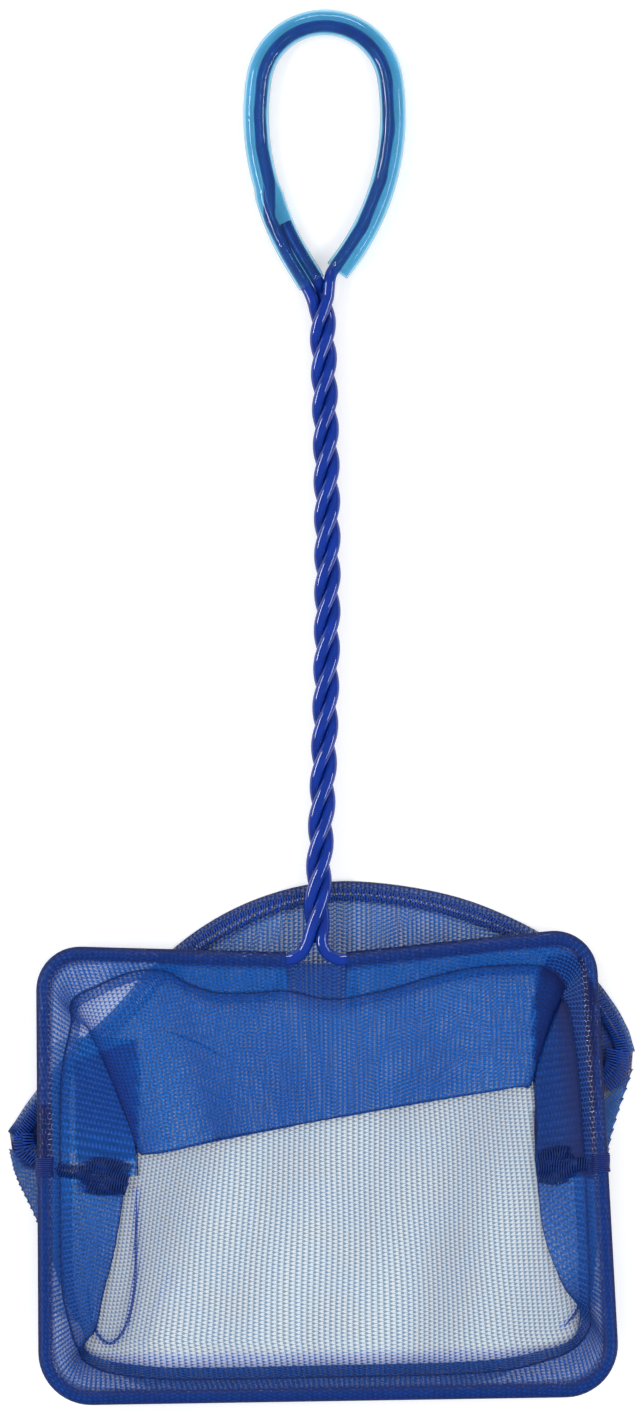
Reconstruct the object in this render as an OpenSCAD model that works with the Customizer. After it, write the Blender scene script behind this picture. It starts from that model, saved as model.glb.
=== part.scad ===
// Aquarium fish net, lying flat: a hoop, a twisted shaft and a hanging loop bent from
// one coated wire, a clear sleeve on the loop, and a two-panel mesh bag pushed up
// under the hoop. X is across the hoop, +Y points to the hanging loop, +Z is up.

/* [Wire] */
// Diameter over the coating
wire_d = 3.2; // [2.6:0.1:3.8]
// Diameter of the steel core
core_d = 2.3; // [1.6:0.1:2.5]
// Clearance between neighbouring strands of the shaft
strand_gap = 0.18; // [0.16:0.02:0.6]
// Faces round the coating
wire_sides = 8; // [6:2:12]
// Faces round the core
core_sides = 5; // [4:1:6]

/* [Shaft] */
// Length of the twisted shaft
shaft_l = 167.8; // [120:1:220]
// Whole turns of the twist
shaft_turns = 5; // [3:1:7]
// How much tighter the twist is at the loop than at the neck
skew_share = 0.086; // [0:0.01:0.3]
// Sideways bow of the shaft at its middle
shaft_bow = 2.2; // [0:0.1:5]
// Where the shaft's foot stands, across
foot_x = -1.5; // [-4:0.1:4]
// Where the shaft's head stands, across
head_x = 0.1; // [-4:0.1:4]

/* [Hanging loop] */
// Radius of the loop's crown, at the middle of the sleeve
crown_r = 17.5; // [14:0.5:22]
// Radius of the loop's long sides, at the middle of the sleeve
side_r = 64.5; // [50:0.5:90]
// Height of the crown's centre over the shaft's head
crown_h = 55.8; // [45:0.1:70]
// Sideways place of the loop's middle line
loop_x = 0.8; // [-4:0.1:4]
// Outside diameter of the sleeve
sleeve_d = 6.9; // [6.6:0.1:8]
// Wall of the sleeve
sleeve_wall = 0.5; // [0.3:0.05:0.7]
// Clearance of the two wires in the sleeve's wide end
tail_gap = 0.2; // [0.1:0.05:0.4]
// Wall of the sleeve where two wires stretch it
flare_wall = 0.4; // [0.3:0.05:0.7]
// Length over which the sleeve widens
flare_l = 4; // [3:0.5:8]
// Straight stretch at the sleeve's wide mouth
mouth_l = 8.5; // [6:0.5:12]

/* [Hoop] */
// Width between the side bars at the neck
hoop_top_w = 143.5; // [120:0.5:170]
// Width between the side bars at the far end
hoop_w = 149.2; // [120:0.5:175]
// Height from the neck's bars to the far bar
hoop_h = 115.4; // [90:0.5:140]
// How far the left shoulder stands over the neck's bars
left_rise = 1.7; // [0:0.1:8]
// How far the right shoulder stands over the neck's bars
right_rise = 6.6; // [0:0.1:12]
// How far the far bar climbs to the right
far_rise = 2.4; // [0:0.1:6]
// How far the far bar lies to the right of the neck
hoop_skew = 3.6; // [-6:0.1:6]
// Bend radius of the two shoulders
shoulder_r = 9.5; // [6:0.5:16]
// Bend radius of the two far corners
corner_r = 12; // [8:0.5:20]
// Bend radius at the neck
neck_r = 6; // [5:0.5:8]
// Tilt of the wire frame, loop down on the table and hoop up on the bag
frame_tilt = 1.2; // [0.8:0.1:2.5]

/* [Bag] */
// Width over the bag's sides
bag_w = 166.4; // [150:0.5:200]
// Depth of the bag from the far bar to its end seam
bag_depth = 134.2; // [100:0.5:160]
// Thickness of the mesh cloth as modelled
cloth_t = 0.5; // [0.3:0.05:0.7]
// Width of the strips of cloth between the panels' openings
strip_w = 3; // [2:0.1:4]
// Shortest side of a cell of cloth that has an opening
opening_min = 10; // [6:0.5:12]
// Height from one flat layer of cloth to the next
layer_step = 1.2; // [1:0.1:1.6]
// How far the lower panel wraps over the bag's edge
rim_w = 3.4; // [2.5:0.1:6]
// Usual distance of the hem's stitch line from the wire's middle
stitch_in = 6; // [5:0.5:8]
// Clearance of the hem round the wire
hem_gap = 0.15; // [0.12:0.01:0.4]
// Wall of the turned hem
hem_wall = 0.3; // [0.2:0.05:0.5]
// Width of the overlock seam
seam_w = 2.8; // [2:0.1:4]
// Thickness of the overlock seam
seam_t = 0.8; // [0.5:0.1:1.2]
// Diameter of the hem's thread
thread_d = 0.5; // [0.3:0.05:0.8]
// Length of each thread bar along the hoop
bartack_l = 5; // [3:0.5:8]
// Wall of each thread bar
bartack_wall = 0.5; // [0.3:0.05:0.8]

/* [Hidden] */

// Counts of rings and steps
turn_rings = 10;
crown_rings = 10;
side_rings = 4;
blend_rings = 5;
corner_rings = 7;
neck_rings = 5;
tube_faces = 48;

// Small clearances and lengths that follow the pieces
seat_gap = 0.15;
hem_bore_r = wire_d / 2 + hem_gap;
hem_r = hem_bore_r + hem_wall;
cut_end_share = 0.6;
cut_end_l = wire_d * cut_end_share;
joint_step = 0.03;
joint_lap = 0.1;

// The shaft's twist: the strands stand a third of a turn apart, and the last part of a
// turn brings the strand of the loop's right leg to the back of the neck.
strand_r = (wire_d + strand_gap) / sqrt(3);
last_turn = 230;
twist_angle = 360 * shaft_turns + last_turn;
right_leg_phase = 40;
left_leg_phase = 160;
tail_phase = 280;

function backwards(list) = [for (i = [len(list) - 1:-1:0]) list[i]];
function mix(a, b, t) = a + (b - a) * t;
function unit(v) = v / norm(v);
function shaft_x(u) = mix(head_x, foot_x, u) + shaft_bow * sin(180 * u);
function phase_at(start, u) = start + twist_angle * (u + skew_share * u * (1 - u));
function strand(start, u) = let (a = phase_at(start, u))
    [shaft_x(u) + strand_r * cos(a), shaft_l * (1 - u), strand_r * sin(a)];
function strand_way(start, u, step = 0.002) = unit(strand(start, u + step) - strand(start, u - step));
function hermite(p, vp, q, vq, t) = let (a = t * t * t, b = t * t)
    p * (2 * a - 3 * b + 1) + vp * (a - 2 * b + t) + q * (3 * b - 2 * a) + vq * (a - b);
// Points of a smooth blend; lift raises its middle, which keeps crossing strands apart.
function blend(p, way_p, q, way_q, n, pull = 1, lift = 0) = let (l = norm(q - p) * pull)
    [for (i = [1:n]) let (t = i / (n + 1))
        hermite(p, way_p * l, q, way_q * l, t) + [0, 0, lift * pow(sin(180 * t), 2)]];
strand_steps = ceil(twist_angle / 360 * turn_rings);

// The hanging loop is laid out as a walk from the crown's top down one leg. Each step is
// [radius, turn, length, sleeve bore radius at its start, at its end]; a straight step
// has turn 0. Side is 1 for the right leg and -1 for the left.
bore_r = sleeve_d / 2 - sleeve_wall;
wide_bore_r = wire_d + 1.5 * tail_gap;
crown_turn = 81.2;
right_side_turn = 48.3;
left_upper_turn = 24.8;
left_lower_turn = 15;
right_leg = [[crown_r, crown_turn, 0, bore_r, bore_r], [side_r, right_side_turn, 0, bore_r, bore_r]];
left_leg = [[crown_r, crown_turn, 0, bore_r, bore_r], [side_r, left_upper_turn, 0, bore_r, bore_r],
    [0, 0, flare_l, bore_r, wide_bore_r], [side_r, left_lower_turn, 0, wide_bore_r, wide_bore_r],
    [0, 0, mouth_l, wide_bore_r, wide_bore_r]];
crown_top = [loop_x, shaft_l + crown_h + crown_r, 0];
// Heading h is the turn made since the crown's top, where the walk runs level outwards.
function way_of(side, h) = [side * cos(h), -sin(h), 0];
function inner_of(side, h) = [-side * sin(h), -cos(h), 0];
function step_end(side, p, h, s) = s[1] == 0
    ? p + way_of(side, h) * s[2]
    : p + (inner_of(side, h) - inner_of(side, h + s[1])) * s[0];
// The place and heading at the start of each step of a leg.
function leg_starts(side, leg) = [for (i = 0, p = crown_top, h = 0; i < len(leg);
    p = step_end(side, p, h, leg[i]), h = h + leg[i][1], i = i + 1) [p, h]];
function leg_start(side, leg, i) = leg_starts(side, leg)[i];
// A point on step i of a leg at share t, moved inwards by off.
function leg_point(side, leg, i, t, off) = let (at = leg_start(side, leg, i), s = leg[i],
    part = [s[0], s[1] * t, s[2] * t, 0, 0], h = at[1] + s[1] * t)
    step_end(side, at[0], at[1], part) + inner_of(side, h) * off;
function leg_way(side, leg, i, t) = way_of(side, leg_start(side, leg, i)[1] + leg[i][1] * t);

// The loop's wire lies against the inside of the bend, and beside the tail in the mouth.
wire_off_share = 0.7;
wire_off = wire_off_share * (bore_r - wire_d / 2);
pair_off = wire_d / 2 + tail_gap / 2;
// Where the two wires run along the wide end's bend, as shares of it.
loop_entry_share = 0.3;
tail_end_shares = [0.75, 0.45];
loop_right = [for (i = [0:1], k = [1:(i == 0 ? crown_rings / 2 : side_rings)])
    leg_point(1, right_leg, i, k / (i == 0 ? crown_rings / 2 : side_rings), wire_off)];
loop_left = [
    for (k = [0:crown_rings / 2]) leg_point(-1, left_leg, 0, k * 2 / crown_rings, wire_off),
    for (k = [1:side_rings - 1]) leg_point(-1, left_leg, 1, k / (side_rings - 1), wire_off),
    leg_point(-1, left_leg, 3, loop_entry_share, -pair_off), leg_point(-1, left_leg, 4, 0, -pair_off),
    leg_point(-1, left_leg, 4, 1, -pair_off)];
loop_tail = [leg_point(-1, left_leg, 4, 1, pair_off), leg_point(-1, left_leg, 4, 0, pair_off),
    each [for (t = tail_end_shares) leg_point(-1, left_leg, 3, t, pair_off)]];

// The hoop's four corners, where the bars' middle lines would meet.
neck_drop_share = 0.1;
neck_y = -neck_r - neck_drop_share * wire_d;
hoop_corners = [[foot_x - hoop_top_w / 2, neck_y + left_rise],
    [foot_x + hoop_skew - hoop_w / 2, neck_y - hoop_h],
    [foot_x + hoop_skew + hoop_w / 2, neck_y - hoop_h + far_rise],
    [foot_x + hoop_top_w / 2, neck_y + right_rise]];
corner_radii = [shoulder_r, corner_r, corner_r, shoulder_r];
left_neck = [foot_x - strand_r - neck_r, neck_y];
right_neck = [foot_x + strand_r + neck_r, neck_y];
function before(i) = i == 0 ? left_neck : hoop_corners[i - 1];
function after(i) = i == 3 ? right_neck : hoop_corners[i + 1];
function angle_of(v) = atan2(v[1], v[0]);
// A corner's bend: [centre, radius, angle of its first end, turn, first end, last end]
function bend(i) = let (c = hoop_corners[i], r = corner_radii[i],
    a = unit(before(i) - c), b = unit(after(i) - c),
    half = acos(a * b) / 2, reach = r / tan(half), centre = c + unit(a + b) * r / sin(half),
    first = c + a * reach, last = c + b * reach)
    [centre, r, angle_of(first - centre), 180 - 2 * half, first, last];
bends = [for (i = [0:3]) bend(i)];
function flat(p) = [p[0], p[1], 0];
hoop_line = [left_neck, for (b = bends, k = [0:corner_rings])
    let (a = b[2] + b[3] * k / corner_rings) b[0] + b[1] * [cos(a), sin(a)], right_neck];

// The whole wire, from the cut end behind the neck to the cut end in the sleeve.
function down(start, skip) = [for (k = [skip:strand_steps]) strand(start, k / strand_steps)];
function up(start) = backwards(down(start, 0));
left_skip = 1;
cross_lift_share = 0.48;
cross_lift = strand_r * cross_lift_share;
neck_pull_share = 1.3;
neck_left_way = unit(left_neck - bends[0][4]);
neck_right_way = unit(bends[3][5] - right_neck);
right_exit = leg_point(1, right_leg, 1, 1, wire_off);
left_exit = leg_point(-1, left_leg, 4, 1, -pair_off);
tail_exit = leg_point(-1, left_leg, 4, 1, pair_off);
right_exit_way = leg_way(1, right_leg, 1, 1);
left_exit_way = leg_way(-1, left_leg, 4, 1);
wire_line = [
    strand(right_leg_phase, 1) + strand_way(right_leg_phase, 1) * cut_end_l,
    each up(right_leg_phase),
    each blend(strand(right_leg_phase, 0), -strand_way(right_leg_phase, 0), right_exit, -right_exit_way,
        blend_rings, 1, cross_lift),
    each backwards(loop_right),
    each loop_left,
    each blend(left_exit, left_exit_way, strand(left_leg_phase, left_skip / strand_steps),
        strand_way(left_leg_phase, left_skip / strand_steps), blend_rings),
    each down(left_leg_phase, left_skip),
    each blend(strand(left_leg_phase, 1), strand_way(left_leg_phase, 1), flat(right_neck),
        flat(neck_right_way), neck_rings, neck_pull_share),
    each [for (p = backwards(hoop_line)) flat(p)],
    each blend(flat(left_neck), flat(neck_left_way), strand(tail_phase, 1), -strand_way(tail_phase, 1),
        neck_rings, neck_pull_share),
    each up(tail_phase),
    each blend(strand(tail_phase, 0), -strand_way(tail_phase, 0), tail_exit, -left_exit_way, blend_rings,
        1, -cross_lift),
    each loop_tail];

// The frame tips about the loop's crown, and the whole net is centred on its box.
crown_z = sleeve_d / 2 + joint_step;
far_y = bends[1][0][1] - corner_r - hem_r - joint_step;
far_reach = (crown_top[1] - far_y) * cos(frame_tilt);
shift_y = (far_reach - sleeve_d / 2 - joint_step) / 2 - crown_top[1];
function posed(p) = let (y = p[1] - crown_top[1])
    [p[0], crown_top[1] + shift_y + y * cos(frame_tilt) + p[2] * sin(frame_tilt),
    crown_z - y * sin(frame_tilt) + p[2] * cos(frame_tilt)];
module frame_pose() {
    translate([0, crown_top[1] + shift_y, crown_z])
        rotate([-frame_tilt, 0, 0])
            translate([0, -crown_top[1], 0])
                children();
}

// A tube swept along points, solid, or hollow when inner is over zero. The rings keep
// one side up, which suits a line that never runs straight up or down.
function way_at(line, i) = let (n = len(line),
    a = i > 0 ? unit(line[i] - line[i - 1]) : unit(line[1] - line[0]),
    b = i < n - 1 ? unit(line[i + 1] - line[i]) : unit(line[n - 1] - line[n - 2])) unit(a + b);
function ring(line, i, r, sides) = let (w = way_at(line, i), x = unit(cross(w, [0, 0, 1])), z = cross(x, w))
    [for (k = [0:sides - 1]) let (a = 360 * (k + 0.5) / sides) line[i] + x * r * cos(a) + z * r * sin(a)];
function side_faces(n, sides, at) = [for (i = [0:n - 2], k = [0:sides - 1])
    let (a = at + i * sides + k, b = at + i * sides + (k + 1) % sides)
    each [[a, b, b + sides], [a, b + sides, a + sides]]];
module swept(line, r, sides) {
    n = len(line);
    points = [for (i = [0:n - 1]) each ring(line, i, r, sides)];
    caps = [[for (k = [sides - 1:-1:0]) k], [for (k = [0:sides - 1]) (n - 1) * sides + k]];
    polyhedron(points, concat(side_faces(n, sides, 0), caps));
}
// The same with a bore of its own number of faces; the two end faces join every outer
// edge to the nearest bore corner and every bore edge to the outer corner between.
function end_faces(n, m, outer_at, inner_at) = concat(
    [for (k = [0:n - 1]) [outer_at + k, outer_at + (k + 1) % n, inner_at + floor((k + 1) * m / n) % m]],
    [for (j = [0:m - 1]) [inner_at + (j + 1) % m, inner_at + j, outer_at + ceil((j + 1) * n / m) - 1]]);
function turned(faces) = [for (f = faces) [f[2], f[1], f[0]]];
module swept_tube(line, r, sides, inner, inner_sides) {
    n = len(line);
    bore_at = n * sides;
    points = concat([for (i = [0:n - 1]) each ring(line, i, r, sides)],
        [for (i = [0:n - 1]) each ring(line, i, inner, inner_sides)]);
    first_end = end_faces(sides, inner_sides, 0, bore_at);
    last_end = end_faces(sides, inner_sides, (n - 1) * sides, bore_at + (n - 1) * inner_sides);
    polyhedron(points, concat(side_faces(n, sides, 0), turned(side_faces(n, inner_sides, bore_at)),
        turned(first_end), last_end));
}

// Straight and bent lengths of round tube that lie in the frame's plane.
module tube(p, q, od, id, end_od, end_id) {
    l = norm(q - p);
    translate([p[0], p[1], 0])
        rotate([0, 0, angle_of(q - p)])
            rotate([0, 90, 0])
                difference() {
                    cylinder(h = l, r1 = od / 2, r2 = end_od / 2, $fn = tube_faces);
                    cylinder(h = l, r1 = id / 2, r2 = end_id / 2, $fn = tube_faces);
                }
}
module tube_bend(centre, r, start, turn, od, id) {
    translate([centre[0], centre[1], 0])
        rotate([0, 0, start])
            rotate_extrude(angle = turn, $fn = tube_faces * 2)
                translate([r, 0])
                    difference() {
                        circle(d = od, $fn = tube_faces);
                        circle(d = id, $fn = tube_faces);
                    }
}
// Where two lengths of tube meet, one is a little thicker and the other runs a little
// way into its wall, which makes a clean joint. A bar laps where its share is 1.
module hem_bar(p, q, lap_p, lap_q) {
    way = unit(q - p) * joint_lap;
    tube(p - way * lap_p, q + way * lap_q, 2 * hem_r, 2 * hem_bore_r, 2 * hem_r, 2 * hem_bore_r);
}
module hem_bend(b) {
    tube_bend(b[0], b[1], b[2], b[3], 2 * (hem_r + joint_step), 2 * (hem_bore_r - joint_step));
}

// The bag. Each panel is a grid of points: one row for each station along its half of
// the hoop, running from the hem over the folds to the far seam, given a thickness.
function shares_of(line) = let (steps = [for (i = 0, at = 0; i < len(line);
    at = at + (i < len(line) - 1 ? norm(line[i + 1] - line[i]) : 0), i = i + 1) at])
    steps / steps[len(steps) - 1];
function column(table, k) = [for (row = table) [row[0], row[k]]];
function spot(table, f, k) = [lookup(f, column(table, k)) * bag_w / 2,
    bag_y + lookup(f, column(table, k + 1)) * bag_depth];
function between(p, q, n) = [for (k = [1:n]) mix(p, q, k / (n + 1))];
function corner_points(b, n) = [for (k = [0:n]) let (a = b[2] + b[3] * k / n) b[0] + b[1] * [cos(a), sin(a)]];
// The outline's points moved into the bag by d; the outline runs clockwise.
function inset(line, d) = [for (i = [0:len(line) - 1]) let (n = len(line) - 1,
    w = unit(line[min(i + 1, n)] - line[max(i - 1, 0)])) line[i] + d * [w[1], -w[0]]];
function rise(p, z) = [p[0], p[1], z];
function ground(p) = [p[0], p[1]];

z_table = cloth_t / 2;
z_mid = z_table + layer_step;
z_front = z_mid + layer_step;
fold_r = layer_step / 2;
bag_y = neck_y - hoop_h + far_rise / 2 + shift_y;
left_mid_share = 0.482;
right_mid_share = 0.502;
left_mid = mix(hoop_corners[0], hoop_corners[1], left_mid_share);
right_mid = mix(hoop_corners[3], hoop_corners[2], right_mid_share);
left_up = unit(hoop_corners[0] - hoop_corners[1]);
right_up = unit(hoop_corners[3] - hoop_corners[2]);
left_mid_upper = left_mid + left_up * seat_gap;
left_mid_lower = left_mid - left_up * seat_gap;
right_mid_upper = right_mid + right_up * seat_gap;
right_mid_lower = right_mid - right_up * seat_gap;

// Hoop stations of the two panels, both from left to right.
upper_line = [left_mid_upper, each between(left_mid_upper, bends[0][5], 2),
    each backwards(corner_points(bends[0], 3)), each between(bends[0][4], left_neck, 2), left_neck,
    right_neck, each between(right_neck, bends[3][5], 2), each backwards(corner_points(bends[3], 3)),
    each between(bends[3][4], right_mid_upper, 2), right_mid_upper];
lower_line = [left_mid_lower, each between(left_mid_lower, bends[1][4], 3), each corner_points(bends[1], 4),
    each between(bends[1][5], bends[2][4], 7), each corner_points(bends[2], 4),
    each between(bends[2][5], right_mid_lower, 3), right_mid_lower];

// Shares of the bag's half width and depth at stations along the hoop:
// [station, front fold x, y, outline x, y] for the upper panel.
upper_shares = [
    [0.00, -0.625, 0.415, -1.000, 0.486],
    [0.05, -0.620, 0.441, -0.991, 0.516],
    [0.12, -0.609, 0.464, -0.927, 0.585],
    [0.19, -0.545, 0.474, -0.825, 0.663],
    [0.25, -0.450, 0.482, -0.663, 0.752],
    [0.33, -0.323, 0.494, -0.498, 0.861],
    [0.42, -0.157, 0.514, -0.259, 0.953],
    [0.50, 0.011, 0.533, -0.014, 1.004],
    [0.58, 0.202, 0.555, 0.234, 0.999],
    [0.67, 0.399, 0.575, 0.456, 0.969],
    [0.75, 0.568, 0.592, 0.695, 0.910],
    [0.81, 0.647, 0.600, 0.860, 0.821],
    [0.88, 0.673, 0.585, 0.956, 0.742],
    [0.95, 0.685, 0.506, 1.000, 0.689],
    [1.00, 0.682, 0.449, 0.994, 0.650]];
// [station, front fold x, y, side fold x, y, outline x, y] for the lower panel.
lower_shares = [
    [0.00, -0.628, 0.405, -0.991, 0.476, -1.000, 0.512],
    [0.05, -0.638, 0.358, -0.968, 0.417, -0.978, 0.531],
    [0.10, -0.657, 0.279, -0.908, 0.334, -0.908, 0.594],
    [0.15, -0.692, 0.190, -0.847, 0.230, -0.784, 0.683],
    [0.20, -0.714, 0.121, -0.787, 0.141, -0.663, 0.752],
    [0.25, -0.737, 0.085, -0.715, 0.110, -0.545, 0.835],
    [0.33, -0.539, 0.076, -0.533, 0.104, -0.370, 0.920],
    [0.42, -0.272, 0.075, -0.269, 0.103, -0.189, 0.975],
    [0.50, 0.002, 0.077, 0.002, 0.105, 0.011, 1.004],
    [0.58, 0.266, 0.080, 0.266, 0.108, 0.218, 1.000],
    [0.67, 0.520, 0.084, 0.517, 0.112, 0.440, 0.973],
    [0.75, 0.765, 0.104, 0.750, 0.126, 0.631, 0.926],
    [0.80, 0.819, 0.157, 0.847, 0.157, 0.758, 0.880],
    [0.85, 0.765, 0.210, 0.876, 0.255, 0.860, 0.821],
    [0.90, 0.711, 0.299, 0.895, 0.368, 0.924, 0.772],
    [0.95, 0.692, 0.377, 0.921, 0.496, 0.975, 0.717],
    [1.00, 0.685, 0.435, 0.991, 0.634, 1.000, 0.669]];
// [station, share of the stitch line's distance] along each half of the hoop: the straight
// edge of the cloth cuts the hoop's corners.
upper_stitch_shares = [[0, 0.7], [0.08, 0.75], [0.12, 0.95], [0.15, 1.25], [0.18, 1.55], [0.21, 1.8], [0.24, 1.7],
    [0.27, 1.15], [0.3, 0.72], [0.33, 0.68], [0.35, 1.2], [0.38, 1.6], [0.42, 1.55], [0.46, 1.42], [0.5, 1.75],
    [0.54, 1.7], [0.58, 1.5], [0.62, 1.2], [0.67, 1], [0.73, 1.2], [0.765, 1.7], [0.8, 1.7], [0.84, 1.12],
    [0.9, 0.85], [1, 0.77]];
lower_stitch_shares = [[0, 0.7], [0.08, 0.7], [0.13, 0.85], [0.16, 1.15], [0.19, 1.55], [0.22, 1.9], [0.25, 1.75],
    [0.28, 1.3], [0.32, 1], [0.37, 0.9], [0.5, 0.92], [0.62, 0.95], [0.69, 1.15], [0.73, 1.6], [0.76, 1.95],
    [0.79, 1.9], [0.83, 1.3], [0.87, 0.95], [0.93, 0.8], [1, 0.73]];
stitch_limit_share = 0.9;
// How far the lower panel's side fold has opened along the hoop: 1 folded, 0 flat.
fold_shares = [[0, 1], [0.2, 1], [0.25, 0], [0.75, 0], [0.8, 1], [1, 1]];

upper_at = shares_of(upper_line);
lower_at = shares_of(lower_line);
upper_outline = [for (f = upper_at) spot(upper_shares, f, 3)];
lower_outline = [for (g = lower_at) spot(lower_shares, g, 5)];
upper_seam_line = inset(upper_outline, rim_w + 4 * seat_gap);
lower_seam_line = inset(lower_outline, rim_w);
lower_edge_line = inset(lower_outline, fold_r + cloth_t / 2);
edge_in = hem_r + seat_gap;

function front_rows(h, top, stitch_share) = let (way = unit(top - h),
    stitch = h + way * min(stitch_in * stitch_share, norm(top - h) * stitch_limit_share))
    [h + way * edge_in, stitch, each between(stitch, top, 2), top];
function fold_rows(c, way, z) = [for (a = [45:45:135]) rise(c + way * fold_r * sin(a), z + fold_r * cos(a))];
function upper_row(i) = let (h = posed(flat(upper_line[i])), f = spot(upper_shares, upper_at[i], 1),
    way = unit(f - ground(h)), c = f - way * fold_r, s = upper_seam_line[i])
    [each front_rows(h, rise(c, z_front), lookup(upper_at[i], upper_stitch_shares)),
    each fold_rows(c, way, z_mid + fold_r), rise(c, z_mid),
    each [for (p = between(c, s, 2)) rise(p, z_mid)], rise(s, z_mid)];
descent_shares = [0.15, 0.3, 0.4, 0.5, 0.6, 0.75, 0.88, 1];
function lower_row(i) = let (h = posed(flat(lower_line[i])), f = spot(lower_shares, lower_at[i], 1),
    g = spot(lower_shares, lower_at[i], 3), way = unit(f - ground(h)), c = f - way * fold_r,
    out = unit(g - f), d = g - out * fold_r, folded = lookup(lower_at[i], fold_shares),
    front = front_rows(h, rise(c, z_front), lookup(lower_at[i], lower_stitch_shares)), last = rise(d, z_table),
    fold = [front[3], front[4], rise(f, z_mid + fold_r), rise(c, z_mid), rise(mix(c, d, 0.5), z_mid),
    rise(d, z_mid), rise(g, z_table + fold_r), last],
    e = lower_edge_line[i], o = mix(lower_outline[i], e, cloth_t / 2 / (fold_r + cloth_t / 2)))
    [front[0], front[1], each [for (k = [0:7]) mix(mix(front[1], last, descent_shares[k]), fold[k], folded)],
    each [for (p = between(d, e, 6)) rise(p, z_table)], rise(e, z_table), rise(o, z_table + fold_r),
    rise(e, z_mid), rise(lower_seam_line[i], z_mid)];
upper_grid = [for (i = [0:len(upper_line) - 1]) upper_row(i)];
lower_grid = [for (i = [0:len(lower_line) - 1]) lower_row(i)];

// The sheet's normal at a grid point, pointing to the underside of the front layer.
function normal_at(grid, i, j) = let (m = len(grid) - 1, n = len(grid[0]) - 1)
    unit(cross(grid[min(i + 1, m)][j] - grid[max(i - 1, 0)][j],
    grid[i][min(j + 1, n)] - grid[i][max(j - 1, 0)]));
// The corners of one cell of a grid, and the same drawn in by half a strip on every side.
function cell(g, i, j) = [g[i][j], g[i][j + 1], g[i + 1][j + 1], g[i + 1][j]];
function sides_of(c) = [for (k = [0:3]) norm(c[(k + 1) % 4] - c[k])];
function drawn_in(c) = let (l = sides_of(c), u = strip_w / (l[1] + l[3]), v = strip_w / (l[0] + l[2]))
    [for (s = [[u, v], [u, 1 - v], [1 - u, 1 - v], [1 - u, v]])
    mix(mix(c[0], c[3], s[0]), mix(c[1], c[2], s[0]), s[1])];
function is_open(grid, i, j) = j > 0 && min(sides_of(cell(grid, i, j))) > opening_min;
// A sheet of cloth through a grid of points, opened in every cell that is large enough.
module cloth(grid) {
    m = len(grid);
    n = len(grid[0]);
    half = m * n;
    faces_of_sheet = [for (s = [1, -1]) [for (i = [0:m - 1])
        [for (j = [0:n - 1]) grid[i][j] + s * normal_at(grid, i, j) * cloth_t / 2]]];
    open = [for (i = [0:m - 2], j = [0:n - 2]) if (is_open(grid, i, j)) [i, j]];
    points = [for (g = faces_of_sheet, row = g) each row];
    inner = [for (k = open, g = faces_of_sheet) each drawn_in(cell(g, k[0], k[1]))];
    skin = [for (i = [0:m - 2], j = [0:n - 2]) if (!is_open(grid, i, j)) let (a = i * n + j)
        each [[a, a + 1, a + n + 1], [a, a + n + 1, a + n]]];
    strips = [for (k = [0:len(open) - 1]) let (a = open[k][0] * n + open[k][1],
        o = [a, a + 1, a + n + 1, a + n], i = 2 * half + 8 * k) each [for (e = [0:3]) let (f = (e + 1) % 4)
        each [[o[e], o[f], i + f], [o[e], i + f, i + e], [i + 4 + f, o[f] + half, o[e] + half],
            [i + 4 + e, i + 4 + f, o[e] + half], [i + e, i + f, i + 4 + f], [i + e, i + 4 + f, i + 4 + e]]]];
    back = [for (f = skin) [f[2] + half, f[1] + half, f[0] + half]];
    rim = concat([for (j = [0:n - 2]) j], [for (i = [0:m - 2]) i * n + n - 1],
        [for (j = [n - 1:-1:1]) (m - 1) * n + j], [for (i = [m - 1:-1:1]) i * n]);
    edge = [for (k = [0:len(rim) - 1]) let (a = rim[k], b = rim[(k + 1) % len(rim)])
        each [[b, a, a + half], [b, a + half, b + half]]];
    polyhedron(concat(points, inner), concat(skin, strips, back, edge));
}

module wire_core() {
    color("silver")
        frame_pose()
            swept(wire_line, core_d / 2, core_sides);
}

module wire_coating() {
    color("mediumblue")
        frame_pose()
            swept_tube(wire_line, wire_d / 2, wire_sides, core_d / 2, core_sides);
}

// The sleeve: one crown bend, a long bend down each leg, and the wide end on the left.
// The crown, the cone and the straight mouth are the thicker pieces at its joints.
wide_d = 2 * (wide_bore_r + flare_wall);
side_lap = joint_lap / side_r * 180 / PI;
flare_at = ground(leg_point(-1, left_leg, 2, 0, 0));
wide_at = ground(leg_point(-1, left_leg, 3, 0, 0));
mouth_at = ground(leg_point(-1, left_leg, 4, 0, 0));
mouth_end = ground(leg_point(-1, left_leg, 4, 1, 0));
module grip_sleeve() {
    thick = 2 * joint_step;
    color("deepskyblue", 0.5)
        frame_pose() {
            tube_bend(crown_top - [0, crown_r, 0], crown_r, 90 - crown_turn, 2 * crown_turn,
                sleeve_d + thick, 2 * bore_r - thick);
            tube_bend(leg_point(1, right_leg, 1, 0, side_r), side_r, 90 - crown_turn - right_side_turn,
                right_side_turn + side_lap, sleeve_d, 2 * bore_r);
            tube_bend(leg_point(-1, left_leg, 1, 0, side_r), side_r, 90 + crown_turn - side_lap,
                left_upper_turn + 2 * side_lap, sleeve_d, 2 * bore_r);
            tube(flare_at, wide_at, sleeve_d + thick, 2 * bore_r - thick, wide_d + thick,
                2 * wide_bore_r - thick);
            tube_bend(leg_point(-1, left_leg, 3, 0, side_r), side_r,
                90 + crown_turn + left_upper_turn - side_lap, left_lower_turn + 2 * side_lap, wide_d,
                2 * wide_bore_r);
            tube(mouth_at, mouth_end, wide_d + thick, 2 * wide_bore_r - thick, wide_d + thick,
                2 * wide_bore_r - thick);
        }
}

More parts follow.
